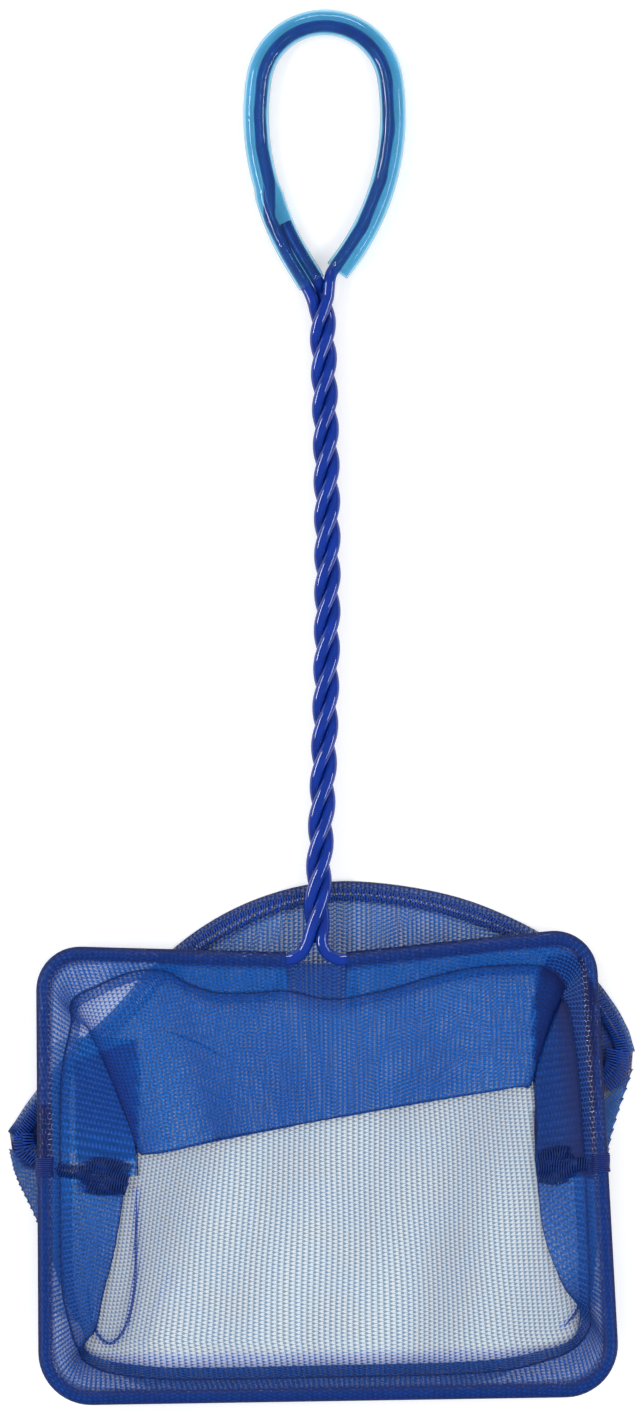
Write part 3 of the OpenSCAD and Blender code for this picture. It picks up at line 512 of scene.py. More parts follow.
def flat_plan(grid, drift, edge, lead=0.0):
    """The grid's points on the flat cloth: its straight edge runs along the hem, and each row runs down from
    it, the first point lying a lead above the edge."""
    step = np.linalg.norm(np.diff(grid, axis=1), axis=2)
    way = np.concatenate([np.zeros((len(grid), 1)), np.cumsum(step, axis=1)], axis=1) - lead
    across = (edge - edge[-1] / 2)[:, None] + 0 * way
    wave = np.sin(across / 7.3 + way / 19) * np.sin(way / 11 - across / 31)
    wave += 0.6 * np.sin(across / 3.9 - way / 13)
    return np.stack([across + drift * wave, drift * 0.6 * np.sin(across / 5.1 + way / 17) - way], axis=2)


def grid_quads(grid):
    """The corners of each face of a grid of points, as numbers of points."""
    index = np.arange(grid.shape[0] * grid.shape[1]).reshape(grid.shape[:2])
    return np.stack([index[:-1, :-1], index[1:, :-1], index[1:, 1:], index[:-1, 1:]], axis=-1).reshape(-1, 4)


def knit_lattice(grid, plan, column, course, columns):
    """A triangle mesh whose points are the cloth's knit cells: straight columns on the flat cloth, laid on
    the form. Only the columns of holes numbered within the pair are made."""
    solid, plane = grid.reshape(-1, 3), plan.reshape(-1, 2)
    a, b, c, d = grid_quads(grid).T
    tris = np.concatenate([np.stack([a, b, c], 1), np.stack([a, c, d], 1)])
    found, points = {}, []
    for a, b, c in tris:
        p, u, v = plane[a], plane[b] - plane[a], plane[c] - plane[a]
        area = u[0] * v[1] - u[1] * v[0]
        if abs(area) < 1e-9:
            continue
        xs, ys = (p[0], p[0] + u[0], p[0] + v[0]), (p[1], p[1] + u[1], p[1] + v[1])
        first, last = math.ceil(min(xs) / column), math.floor(max(xs) / column)
        for i in range(max(columns[0], first), min(columns[1], last) + 1):
            odd = 0.5 * (i % 2)
            for j in range(math.ceil(min(ys) / course - odd), math.floor(max(ys) / course - odd) + 1):
                wx, wy = i * column - p[0], (j + odd) * course - p[1]
                s, t = (wx * v[1] - wy * v[0]) / area, (u[0] * wy - u[1] * wx) / area
                if s >= 0 and t >= 0 and s + t < 1:
                    found.setdefault((i, j), []).append(len(points))
                    points.append(solid[a] * (1 - s - t) + solid[b] * s + solid[c] * t)
    points = np.array(points)
    reach = 5 * column
    faces = []
    for (i, j), here in found.items():
        if i % 2 == 0:
            corners = (((i + 1, j), (i, j + 1)), ((i + 1, j - 1), (i + 1, j)))
        else:
            corners = (((i + 1, j), (i + 1, j + 1)), ((i + 1, j + 1), (i, j + 1)))
        for two in corners:
            if not all(k in found for k in two):
                continue
            for first in here:
                tri = [first]
                for key in two:
                    gaps = [float(np.sum((points[k] - points[first]) ** 2)) for k in found[key]]
                    if min(gaps) < reach * reach:
                        tri.append(found[key][gaps.index(min(gaps))])
                if len(tri) == 3:
                    faces.append(tri)
    return points, faces


# Blender helpers.
def mesh_object(name, points, faces):
    """A mesh object in the scene, from points in millimetres."""
    mesh = bpy.data.meshes.new(name)
    mesh.from_pydata((np.asarray(points) * MM).tolist(), [], faces)
    mesh.validate()
    obj = bpy.data.objects.new(name, mesh)
    bpy.context.scene.collection.objects.link(obj)
    return obj


def curve_object(name, lines, closed=False):
    """A curve object of straight-sided splines, from lists of points in millimetres."""
    curve = bpy.data.curves.new(name, "CURVE")
    curve.dimensions = "3D"
    for line in lines:
        spline = curve.splines.new("POLY")
        spline.points.add(len(line) - 1)
        rows = np.concatenate([np.asarray(line) * MM, np.ones((len(line), 1))], axis=1)
        spline.points.foreach_set("co", rows.ravel())
        spline.use_cyclic_u = closed
    obj = bpy.data.objects.new(name, curve)
    bpy.context.scene.collection.objects.link(obj)
    return obj


def shade_smooth(obj):
    """Let light run smoothly over the object's faces."""
    obj.data.polygons.foreach_set("use_smooth", [True] * len(obj.data.polygons))


def reckon(tree, operation, a, b=0.0):
    """One step of arithmetic in a node tree, on numbers or sockets."""
    node = tree.nodes.new("ShaderNodeMath")
    node.operation = operation
    for socket, value in zip(node.inputs, (a, b)):
        if isinstance(value, bpy.types.NodeSocket):
            tree.links.new(value, socket)
        else:
            socket.default_value = value
    return node.outputs[0]


class Tree:
    """A geometry node tree under construction, with named inputs for its sizes."""

    def __init__(self, name, inputs):
        self.group = bpy.data.node_groups.new(name, "GeometryNodeTree")
        face = self.group.interface
        face.new_socket("Geometry", in_out="INPUT", socket_type="NodeSocketGeometry")
        self.sockets = {}
        for label, kind, value in inputs:
            socket = face.new_socket(label, in_out="INPUT", socket_type="NodeSocket" + kind)
            if value is not None:
                socket.default_value = value
            self.sockets[label] = socket.identifier
        face.new_socket("Geometry", in_out="OUTPUT", socket_type="NodeSocketGeometry")
        self.start = self.group.nodes.new("NodeGroupInput")
        self.end = self.group.nodes.new("NodeGroupOutput")

    def given(self, label):
        """What the tree's user gave for one of its inputs."""
        return self.start.outputs[label]

    def add(self, kind, links, **settings):
        """A node with its settings, its inputs linked or set."""
        node = self.group.nodes.new(kind)
        for key, value in settings.items():
            setattr(node, key, value)
        for key, value in links.items():
            if isinstance(value, bpy.types.NodeSocket):
                self.group.links.new(value, node.inputs[key])
            else:
                node.inputs[key].default_value = value
        return node

    def finish(self, geometry):
        """The tree, with its result made real and painted."""
        real = self.add("GeometryNodeRealizeInstances", {"Geometry": geometry})
        paint = self.add("GeometryNodeSetMaterial", {"Geometry": real.outputs[0],
                                                     "Material": self.given("Material")})
        self.group.links.new(paint.outputs[0], self.end.inputs[0])
        return self


def grown(obj, tree, name, values):
    """A plain mesh object made by the tree on obj; obj is then removed."""
    modifier = obj.modifiers.new(tree.group.name, "NODES")
    modifier.node_group = tree.group
    for label, value in values.items():
        modifier[tree.sockets[label]] = value
    bpy.context.view_layer.update()
    done = obj.evaluated_get(bpy.context.evaluated_depsgraph_get())
    mesh = bpy.data.meshes.new_from_object(done)
    mesh.name = name
    obj.modifiers.remove(modifier)
    bpy.data.objects.remove(obj)
    new = bpy.data.objects.new(name, mesh)
    bpy.context.scene.collection.objects.link(new)
    return new


TREES = {}


def tree_named(name, build):
    """The tree of that name, built once and kept."""
    if name not in TREES:
        TREES[name] = build(name)
    return TREES[name]


def knit_tree(name):
    """Turns every cell of a lattice into a ring of thread round a hole, with rounded edges; where the cells
    are drawn together, the thread keeps its width and the hole closes."""
    t = Tree(name, [("Thread Drop", "Float", -0.00006), ("Thread Width", "Float", 0.00022),
                    ("Side Share", "Float", 0.6), ("Least Opening", "Float", 0.1),
                    ("Material", "Material", None)])
    cells = t.add("GeometryNodeDualMesh", {"Mesh": t.given("Geometry")})
    area = t.add("GeometryNodeInputMeshFaceArea", {})
    held = t.add("GeometryNodeCaptureAttribute", {"Geometry": cells.outputs[0]}, domain="FACE")
    held.capture_items.new("FLOAT", "Size")
    t.group.links.new(reckon(t.group, "SQRT", area.outputs[0]), held.inputs["Size"])
    thread = reckon(t.group, "DIVIDE", t.given("Thread Width"), held.outputs["Size"])
    tall = reckon(t.group, "MAXIMUM", reckon(t.group, "SUBTRACT", 1.0, thread), t.given("Least Opening"))
    wide = reckon(t.group, "SUBTRACT", 1.0, reckon(t.group, "MULTIPLY", thread, t.given("Side Share")))
    raised = t.add("GeometryNodeExtrudeMesh", {"Mesh": held.outputs["Geometry"], "Individual": True,
                                               "Offset Scale": t.given("Thread Drop")}, mode="FACES")
    hole = raised.outputs["Top"]
    shrunk = t.add("GeometryNodeScaleElements", {"Geometry": raised.outputs["Mesh"], "Selection": hole,
                                                 "Scale": tall}, domain="FACE")
    squeeze = reckon(t.group, "DIVIDE", wide, tall)
    shaped = t.add("GeometryNodeScaleElements", {"Geometry": shrunk.outputs[0], "Selection": hole,
                                                 "Axis": (1, 0, 0), "Scale": squeeze},
                   domain="FACE", scale_mode="SINGLE_AXIS")
    rings = t.add("GeometryNodeDeleteGeometry", {"Geometry": shaped.outputs[0], "Selection": hole},
                  domain="FACE", mode="ONLY_FACE")
    smooth = t.add("GeometryNodeSetShadeSmooth", {"Geometry": rings.outputs[0]})
    return t.finish(smooth.outputs[0])


def tube_tree(name):
    """A round tube that follows a path."""
    t = Tree(name, [("Radius", "Float", 0.0016), ("Sides", "Int", 16), ("Material", "Material", None)])
    ring = t.add("GeometryNodeCurvePrimitiveCircle", {"Resolution": t.given("Sides"),
                                                      "Radius": t.given("Radius")}, mode="RADIUS")
    tube = t.add("GeometryNodeCurveToMesh", {"Curve": t.given("Geometry"), "Profile Curve": ring.outputs[0],
                                             "Fill Caps": True})
    smooth = t.add("GeometryNodeSetShadeSmooth", {"Geometry": tube.outputs[0]})
    return t.finish(smooth.outputs[0])


def stitch_tree(name):
    """The same small piece of thread set along a path at even steps."""
    t = Tree(name, [("Pitch", "Float", 0.002), ("Stitch", "Object", None), ("Material", "Material", None)])
    steps = t.add("GeometryNodeResampleCurve", {"Curve": t.given("Geometry"), "Length": t.given("Pitch")},
                  mode="LENGTH")
    along = t.add("GeometryNodeInputTangent", {})
    turn = t.add("FunctionNodeAlignRotationToVector", {"Vector": along.outputs[0]}, axis="X", pivot_axis="Z")
    piece = t.add("GeometryNodeObjectInfo", {"Object": t.given("Stitch")}, transform_space="ORIGINAL")
    row = t.add("GeometryNodeInstanceOnPoints", {"Points": steps.outputs[0], "Rotation": turn.outputs[0],
                                                 "Instance": piece.outputs["Geometry"]})
    return t.finish(row.outputs[0])


# Materials. Every pattern reads Object coordinates, in metres, or the cloth's own map and attribute.
class Paint:
    """A material under construction."""

    def __init__(self, name, colour, roughness, **sockets):
        self.material = bpy.data.materials.new(name)
        self.material.use_nodes = True
        self.nodes = self.material.node_tree.nodes
        self.links = self.material.node_tree.links
        self.shader = self.nodes["Principled BSDF"]
        self.shader.inputs["Base Color"].default_value = (*colour, 1)
        self.shader.inputs["Roughness"].default_value = roughness
        for key, value in sockets.items():
            self.shader.inputs[key.replace("_", " ").title().replace("Ior", "IOR")].default_value = value
        self.place = self.nodes.new("ShaderNodeTexCoord")

    def noise(self, scale, detail=3.0):
        """An even, cloudy pattern from 0 to 1."""
        noise = self.nodes.new("ShaderNodeTexNoise")
        noise.inputs["Scale"].default_value = scale
        noise.inputs["Detail"].default_value = detail
        self.links.new(self.place.outputs["Object"], noise.inputs["Vector"])
        return noise.outputs["Fac"]

    def mottled(self, pattern, colour, less, more):
        """The colour, from the share less of itself to the share more, where the pattern says."""
        return self.ramp(pattern, shade(colour, less), shade(colour, more))

    def ramp(self, value, low, high):
        """A colour between low and high, where the value says."""
        ramp = self.nodes.new("ShaderNodeValToRGB")
        for element, place_at, colour in zip(ramp.color_ramp.elements, (0.3, 0.7), (low, high)):
            element.position, element.color = place_at, (*colour, 1)
        self.links.new(value, ramp.inputs["Fac"])
        return ramp.outputs["Color"]

    def bump(self, value, height, strength):
        """Stand the surface up where the value says."""
        bump = self.nodes.new("ShaderNodeBump")
        bump.inputs["Strength"].default_value = strength
        bump.inputs["Distance"].default_value = height
        self.links.new(value, bump.inputs["Height"])
        self.links.new(bump.outputs["Normal"], self.shader.inputs["Normal"])

    def sum(self, operation, a, b=0.0):
        """One step of arithmetic on numbers or sockets."""
        return reckon(self.material.node_tree, operation, a, b)

    def parts(self, vector):
        """The three numbers of a vector."""
        split = self.nodes.new("ShaderNodeSeparateXYZ")
        self.links.new(vector, split.inputs[0])
        return split.outputs

    def by_height(self, high, low, start=0.0004, stop=0.0013):
        """The colour low at the table that turns into high further up; low is painted light from the table."""
        part = self.nodes.new("ShaderNodeMapRange")
        part.inputs["From Min"].default_value = start
        part.inputs["From Max"].default_value = stop
        self.links.new(self.parts(self.place.outputs["Object"])[2], part.inputs["Value"])
        both = self.nodes.new("ShaderNodeMix")
        both.data_type = "RGBA"
        self.links.new(part.outputs[0], both.inputs["Factor"])
        self.links.new(low, both.inputs["A"])
        self.links.new(high, both.inputs["B"])
        return both.outputs["Result"]

    def colour(self, value):
        """Take the surface's colour from a socket."""
        self.links.new(value, self.shader.inputs["Base Color"])


def shade(colour, by):
    """The colour made darker or brighter."""
    return tuple(min(1.0, c * by) for c in colour)


def coating_paint(props):
    """Glossy dipped vinyl, a little uneven."""
    paint = Paint("blue_vinyl", props.coat_colour, props.coat_roughness, ior=1.58)
    paint.colour(paint.mottled(paint.noise(220), props.coat_colour, 0.86, 1.14))
    paint.bump(paint.noise(900, 2), height=0.00002, strength=0.2)
    return paint.material


def steel_paint():
    """Drawn steel wire, seen only at its cut ends."""
    paint = Paint("drawn_steel", (0.55, 0.56, 0.58), 0.3, metallic=1.0)
    paint.colour(paint.ramp(paint.noise(2500, 2), (0.42, 0.43, 0.45), (0.66, 0.67, 0.69)))
    return paint.material


def sleeve_paint(props):
    """Clear soft vinyl. Its two walls hardly bend the light, so the table shows through."""
    paint = Paint("clear_vinyl", props.sleeve_colour, 0.04, ior=1.05, transmission_weight=0.985,
                  coat_weight=0.5, coat_roughness=0.04)
    paint.colour(paint.mottled(paint.noise(60, 2), props.sleeve_colour, 0.93, 1.05))
    paint.bump(paint.noise(160, 2), height=0.00012, strength=0.3)
    return paint.material


def thread_paint(name, colour, lit=None, glossy=False):
    """Nylon thread. Where lit is given, thread near the white table takes that colour, painted light from
    below.
    """
    if glossy:
        paint = Paint(name, colour, 0.2, ior=1.9, specular_ior_level=0.5)
    else:
        paint = Paint(name, colour, 0.5, ior=1.45, specular_ior_level=0.3)
    pattern = paint.noise(1500, 4)
    value = paint.mottled(pattern, colour, 0.85, 1.15)
    paint.colour(paint.by_height(value, paint.mottled(pattern, lit, 0.85, 1.15)) if lit else value)
    paint.bump(paint.noise(6000, 2), height=0.00005, strength=0.6)
    return paint.material


def filament_paint(props):
    """Thin filaments between the thread rings, denser in a dash beside every loop. Where the cloth lies in
    several plies, they let less light through and their colour is darkened with painted shade; near the
    table they take the lit colour, painted light from below."""
    if "fine_filaments" in bpy.data.materials:
        return bpy.data.materials["fine_filaments"]
    paint = Paint("fine_filaments", props.filament_colour, 0.6, ior=1.45, specular_ior_level=0.2)
    pattern = paint.noise(900, 2)
    colour = paint.by_height(paint.mottled(pattern, props.filament_colour, 0.85, 1.15),
                             paint.mottled(pattern, props.lit_colour, 0.9, 1.1))
    # Painted shade: the colour is darkened by a power of the plies.
    plies = paint.nodes.new("ShaderNodeAttribute")
    plies.attribute_name = "plies"
    plies = paint.sum("MAXIMUM", plies.outputs["Fac"], 0.5)
    less = paint.nodes.new("ShaderNodeCombineXYZ")
    for k, power in enumerate((-0.8, -1.25, -0.85)):
        paint.links.new(paint.sum("POWER", plies, power), less.inputs[k])
    ply_shaded = paint.nodes.new("ShaderNodeVectorMath")
    ply_shaded.operation = "MULTIPLY"
    paint.links.new(colour, ply_shaded.inputs[0])
    paint.links.new(less.outputs[0], ply_shaded.inputs[1])
    paint.colour(ply_shaded.outputs[0])
    cells = paint.nodes.new("ShaderNodeUVMap")
    cells.uv_map = "loops"
    across, down = paint.parts(cells.outputs[0])[:2]
    down = paint.sum("ADD", down, paint.sum("MULTIPLY", paint.sum("FLOOR", across), 0.5))
    beside, along = (paint.sum("MULTIPLY", paint.sum("COSINE", paint.sum("MULTIPLY", way, math.tau)), 0.5)
                     for way in (across, down))
    beside, along = paint.sum("SUBTRACT", 0.5, beside), paint.sum("ADD", 0.5, along)
    dash = paint.sum("MULTIPLY", paint.sum("MULTIPLY", beside, beside), paint.sum("MULTIPLY", along, along))
    density = paint.sum("ADD", props.filament_share, paint.sum("MULTIPLY", dash, props.dash_share))
    clear = paint.sum("POWER", paint.sum("MAXIMUM", paint.sum("SUBTRACT", 1, density), 0.02), plies)
    paint.links.new(paint.sum("SUBTRACT", 1, clear), paint.shader.inputs["Alpha"])
    return paint.material


class NetWire(bpy.types.PropertyGroup):
    """Sizes and colours of the wire and its sleeve."""

    coat_d: FloatProperty(name="Coating Diameter", description="Diameter over the wire's coating",
                          default=WIRE_D * MM, unit="LENGTH")
    coat_sides: IntProperty(name="Coating Sides", description="Faces round the wire", default=18, min=6)
    coat_colour: FloatVectorProperty(name="Coating Colour", description="Colour of the vinyl dip",
                                     subtype="COLOR", default=(0.005, 0.034, 0.30), min=0, max=1)
    coat_roughness: FloatProperty(name="Coating Roughness", description="Roughness of the vinyl dip",
                                  default=0.09)
    sleeve_colour: FloatVectorProperty(name="Sleeve Colour", description="Tint of the clear sleeve",
                                       subtype="COLOR", default=(0.30, 0.66, 0.85), min=0, max=1)
    sleeve_sides: IntProperty(name="Sleeve Sides", description="Faces round the sleeve", default=40, min=12)


class NetCloth(bpy.types.PropertyGroup):
    """Sizes and colours of the knitted bag."""

    column: FloatProperty(name="Column Step", description="Distance between columns of holes",
                          default=0.00134, unit="LENGTH")
    course: FloatProperty(name="Course Step", description="Distance between holes down a column",
                          default=0.00104, unit="LENGTH")
    knit_thread: FloatProperty(name="Knitting Thread", description="Width of the thread across the holes",
                               default=0.00019, unit="LENGTH")
    side_share: FloatProperty(name="Side Share", default=0.5,
                              description="Width of the thread along the columns against that across")
    mesh_colour: FloatVectorProperty(name="Mesh Colour", description="Colour of the knitted nylon",
                                     subtype="COLOR", default=(0.005, 0.10, 0.46), min=0, max=1)
    filament_colour: FloatVectorProperty(name="Filament Colour", subtype="COLOR",
                                         description="Colour of the thin filaments in the holes",
                                         default=(0.006, 0.125, 0.51), min=0, max=1)
    # Painted light: the colour of thread near the table, lit from below by the white table.
    lit_colour: FloatVectorProperty(name="Lit Colour", subtype="COLOR",
                                    description="Colour of the thread that the white table lights",
                                    default=(0.17, 0.28, 0.42), min=0, max=1)
    filament_share: FloatProperty(name="Filament Share", default=0.34,
                                  description="How far the filaments fill the holes")
    dash_share: FloatProperty(name="Dash Share", description="How much denser they lie beside each loop",
                              default=1.1)
    # The hem colour is darker than the bag's own colour: painted shade of the plies round the wire.
    hem_colour: FloatVectorProperty(name="Hem Colour", description="Colour of the cloth round the wire",
                                    subtype="COLOR", default=(0.004, 0.027, 0.21), min=0, max=1)


class NetThread(bpy.types.PropertyGroup):
    """Sizes and colours of the seams and stitches."""

    stitch_pitch: FloatProperty(name="Stitch Pitch", description="Length of one lock stitch", default=0.0022,
                                unit="LENGTH")
    overlock_pitch: FloatProperty(name="Overlock Pitch", description="Distance between overlock loops",
                                  default=0.0007, unit="LENGTH")
    thread_d: FloatProperty(name="Thread Diameter", description="Diameter of the sewing thread",
                            default=0.00036, unit="LENGTH")
    thread_colour: FloatVectorProperty(name="Thread Colour", description="Colour of the stitches",
                                       subtype="COLOR", default=(0.003, 0.014, 0.11), min=0, max=1)
    seam_colour: FloatVectorProperty(name="Seam Colour", description="Colour of the overlock seam",
                                     subtype="COLOR", default=(0.005, 0.055, 0.36), min=0, max=1)


class NetStudio(bpy.types.PropertyGroup):
    """The floor, lamps and camera."""

    floor_colour: FloatVectorProperty(name="Floor Colour", description="Colour of the table", subtype="COLOR",
                                      default=(0.80, 0.81, 0.82), min=0, max=1)
    camera_height: FloatProperty(name="Camera Height", description="Distance of the camera over the table",
                                 default=2.0, unit="LENGTH")
    view_length: FloatProperty(name="View Length", description="Length of the table in the picture",
                               default=0.3736, unit="LENGTH")
    lamp_power: FloatProperty(name="Lamp Power", default=9.0, unit="POWER",
                              description="Power of the left soft lamp, which the others follow")


def finished(obj, slot, *nodes):
    """A finished piece: it rides on the net's one body and hides the nodes it stands for. Its slot is not used.
    """
    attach(obj, BODY)
    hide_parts(*nodes)
    return obj


class NET_OT_wire(bpy.types.Operator):
    """Bend the whole coated wire: shaft, hanging loop, neck and hoop."""

    bl_idname = "net.wire"
    bl_label = "Coated Wire"

    def execute(self, context):
        props = context.scene.net_wire
        cap_back = 0.15
        route = smooth_line(wire_route(), 4)
        way = unit(route[1] - route[0]), unit(route[-1] - route[-2])
        route[0] += way[0] * cap_back
        route[-1] -= way[1] * cap_back
        wire = grown(curve_object("wire_path", [route]), tree_named("Coated Wire", tube_tree), "coated_wire",
                     {"Radius": props.coat_d / 2, "Sides": props.coat_sides,
                      "Material": coating_paint(props)})
        finished(wire, "blue_vinyl", "wire_coating")
        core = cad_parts["wire_core"]
        core.data.materials.clear()
        core.data.materials.append(steel_paint())
        return {"FINISHED"}


# Rings of the sleeve on each stretch of the two legs, from the right end over the crown to the wide mouth.
SLEEVE_RINGS_RIGHT, SLEEVE_RINGS_LEFT = {1: 30, 0: 28}, {0: 28, 1: 16, 2: 8, 3: 10, 4: 6}
LIP = 0.1


def sleeve_wall():
    """(the sleeve's middle line in place, how wide it is at each point, from 0 for one wire to 1 for two)."""
    line = [leg_point(1, RIGHT_LEG, i, k / n, 0)
            for i, n in SLEEVE_RINGS_RIGHT.items() for k in range(n, 0, -1)]
    wide = [0] * len(line)
    for i, n in SLEEVE_RINGS_LEFT.items():
        for t in (k / n for k in range(0 if i == 0 else 1, n + 1)):
            line.append(leg_point(-1, LEFT_LEG, i, t, 0))
            wide.append((0, 0, fade(t), 1, 1)[i])
    return posed(np.array(line)), np.array(wide)


def tube_shell(line, outer, inner, sides):
    """(points, faces) of an open tube with a wall, from its radii along the line."""
    way = unit(np.gradient(line, axis=0))
    across = unit(np.cross(way, [0, 0, 1]))
    up = np.cross(across, way)
    n = len(line)
    points, faces = [], []
    for r in (outer, inner):
        for a in (2 * math.pi * k / sides for k in range(sides)):
            points.append(line + r[:, None] * (across * math.cos(a) + up * math.sin(a)))
    for k in range(sides):
        o1, o2, i1, i2 = (row * n for row in (k, (k + 1) % sides, sides + k, sides + (k + 1) % sides))
        for i in range(n - 1):
            faces.append((o1 + i, o2 + i, o2 + i + 1, o1 + i + 1))
            faces.append((i1 + i, i1 + i + 1, i2 + i + 1, i2 + i))
        faces.append((o1, i1, i2, o2))
        faces.append((o1 + n - 1, o2 + n - 1, i2 + n - 1, i1 + n - 1))
    return np.concatenate(points), faces


class NET_OT_sleeve(bpy.types.Operator):
    """Slip the clear tube over the hanging loop, wide where it also holds the wire's tail."""

    bl_idname = "net.sleeve"
    bl_label = "Clear Sleeve"

    def execute(self, context):
        props = context.scene.net_wire
        line, wide = sleeve_wall()
        lip = np.zeros(len(line))
        lip[[0, -1]] = LIP
        outer, inner = mix(SLEEVE_R, WIDE_R, wide) - lip, mix(BORE_R, WIDE_BORE_R, wide) + lip
        sleeve = mesh_object("clear_sleeve", *tube_shell(line, outer, inner, props.sleeve_sides))
        shade_smooth(sleeve)
        sleeve.data.materials.append(sleeve_paint(props))
        finished(sleeve, "clear_vinyl", "grip_sleeve")
        return {"FINISHED"}


# A knitted piece has every column of holes unless it is told otherwise.
ALL_COLUMNS = (-9999, 9999)
# The strip along a pressed line: points along it, its width, the points over which its ends taper, its plies.
STRIP_POINTS, STRIP_W, STRIP_TAPER, STRIP_PLIES = 40, 0.8, 6, 2.8
# Towards a panel's seam its last rows are denser, and towards its hem the first rows, from HEM_PLIES to 1.
SEAM_ROWS, SEAM_PLIES, HEM_ROWS, HEM_PLIES = 4, 2.2, 14, 3
# How far the filaments lie under the grid that the cloth is laid on.
FILAMENT_DROP = 0.03


def pressed_strip(line, width):
    """(points, quads, places on the flat cloth) of a narrow strip along a line."""
    n = STRIP_POINTS
    line = even_line(smooth_line(line, 8), n)
    side = unit(np.cross(np.gradient(line, axis=0), [0, 0, 1])) * width / 2
    side *= np.clip(np.minimum(np.arange(n), np.arange(n)[::-1]) / STRIP_TAPER, 0.15, 1)[:, None]
    quads = [(k, k + 1, k + n + 1, k + n) for k in range(n - 1)]
    return (np.concatenate([line - side, line + side]), quads,
            np.stack([np.repeat([0, width], n), np.tile(lengths(line), 2)], axis=1))


def filament_sheet(name, grid, plan, props, density, pressed):
    """The fine filaments of a knitted piece, with a folded strip along every pressed line."""
    quads = grid_quads(grid).tolist()
    points, flat_at = grid.reshape(-1, 3) - (0, 0, FILAMENT_DROP), plan.reshape(-1, 2)
    density = density.ravel()
    if name.startswith("lower_mesh"):
        points = creased(points)
    for line in pressed:
        extra, strips, at = pressed_strip(np.array(line), STRIP_W)
        quads += [tuple(k + len(points) for k in quad) for quad in strips]
        points, flat_at = np.concatenate([points, extra]), np.concatenate([flat_at, at])
        density = np.concatenate([density, np.full(len(extra), STRIP_PLIES)])
    sheet = mesh_object(name + "_filaments", points, quads)
    corners = np.array([v for p in sheet.data.polygons for v in p.vertices])
    cells = flat_at[corners] / (props.column / MM, props.course / MM)
    sheet.data.uv_layers.new(name="loops").data.foreach_set("uv", cells.ravel())
    sheet.data.attributes.new("plies", "FLOAT", "POINT").data.foreach_set("value", density)
    sheet.data.materials.append(filament_paint(props))
    shade_smooth(sheet)
    return sheet


def knitted(name, grid, plan, props, material, density, stations=slice(None), columns=ALL_COLUMNS,
            pressed=()):
    """A knitted piece: the ring of thread round every hole, and the fine filaments in the holes."""
    points, faces = knit_lattice(grid, plan, props.column / MM, props.course / MM, columns)
    if name.startswith("lower_mesh"):
        points = creased(points)
    knit = grown(mesh_object(name + "_cells", points, faces), tree_named("Knitted Mesh", knit_tree), name,
                 {"Thread Width": props.knit_thread, "Side Share": props.side_share, "Material": material})
    knit.data.uv_layers.new(name="loops")
    grid, plan = grid[stations], plan[stations]
    sheet = filament_sheet(name, grid, plan, props, density(grid, plan), pressed)
    with bpy.context.temp_override(active_object=knit, selected_editable_objects=[knit, sheet]):
        bpy.ops.object.join()
    return knit


def ring_places(obj):
    """The middles of a knitted piece's faces, in millimetres."""
    middles = np.empty(len(obj.data.polygons) * 3)
    obj.data.polygons.foreach_get("center", middles)
    return middles.reshape(-1, 3) / MM


def repainted(obj, material, chosen):
    """Give the chosen faces of a knitted piece another material, where they are still its first thread."""
    slots = np.empty(len(obj.data.polygons), np.int32)
    obj.data.polygons.foreach_get("material_index", slots)
    obj.data.materials.append(material)
    slots[chosen & (slots == 0)] = len(obj.data.materials) - 1
    obj.data.polygons.foreach_set("material_index", slots)


def declared(obj, node, slot):
    """A cloth piece, set on the net's one body, with the node that it stands for hidden."""
    finished(obj, slot, node)
    return obj


# Stations across a panel, points down it from the stitch line, and rows before that line.
PANEL_STATIONS, PANEL_ROWS, LEAD_ROWS = 140, 150, 5
# Where a panel starts, as a share of the stitch line's distance: inside the hem, or by the wire at the neck
# and a little to both sides of it.
PANEL_START, NECK_START, NECK_SPREAD = 0.94, 0.1, 0.012
# How far the knit's columns wander on the flat cloth.
KNIT_DRIFT = 0.35


def panel_grids(upper):
    """(grid, its flat plan) of one panel, from just inside the hem's stitch line to the seam."""
    stations = np.linspace(0, 1, PANEL_STATIONS)
    start = np.full((PANEL_STATIONS, 1), PANEL_START)
    if upper:
        at_neck = (stations > NECK_STATIONS[0] - NECK_SPREAD) & (stations < NECK_STATIONS[1] + NECK_SPREAD)
        start[at_neck] = NECK_START
    rows = (upper_rows if upper else lower_rows)(PANEL_STATIONS, start)
    lead = np.linalg.norm(rows[:, 1] - rows[:, 0], axis=1)[:, None]
    top = np.stack([mix(rows[:, 0], rows[:, 1], k / LEAD_ROWS) for k in range(LEAD_ROWS)], axis=1)
    grid = np.concatenate([top, along_rows(rows[:, 1:], PANEL_ROWS)], axis=1)
    x, y = grid[:, :, 0], grid[:, :, 1]
    waves = 0.18 * np.sin(x / 6.1 + y / 9.7) * np.sin(y / 7.9 - x / 17) + 0.1 * np.sin(x / 3.1 - y / 11)
    grid[:, :, 2] += waves * np.clip((grid[:, :, 2] - Z_TABLE) / 0.8, 0, 1)
    hem_to_seam = (lengths(grid[:, LEAD_ROWS]) + lengths(grid[:, -1])) / 2
    return grid, flat_plan(grid, KNIT_DRIFT, hem_to_seam, lead)


def panel_density(grid, plan):
    """Plies of a panel's filaments at each point: more where it is gathered, at its seam and at its hem."""
    density = gathered(grid, plan)
    density[:, -SEAM_ROWS:] *= SEAM_PLIES
    density[:, :HEM_ROWS] *= np.linspace(HEM_PLIES, 1, HEM_ROWS)
    return density


def pressed_lines(upper, left):
    """Lines where a panel's cloth lies pressed, on one side of the net: the front fold and what is pressed
    into it, or the standing creases."""
    if upper:
        fold = at_height(spots(UPPER_SHARES, np.linspace(0.23, 0.765, 60), 1), 2.4) + (0, 0.3, 0)
        lines = [fold[:29], fold[28:], *PRESSED]
    else:
        lines = [[(x, y, Z_TABLE + height + 0.1) for x, y in crease]
                 for crease, height in zip(CREASES[:2], CREASE_HEIGHTS)]
    return [line for line in lines if (line[len(line) // 2][0] < 0) == left]


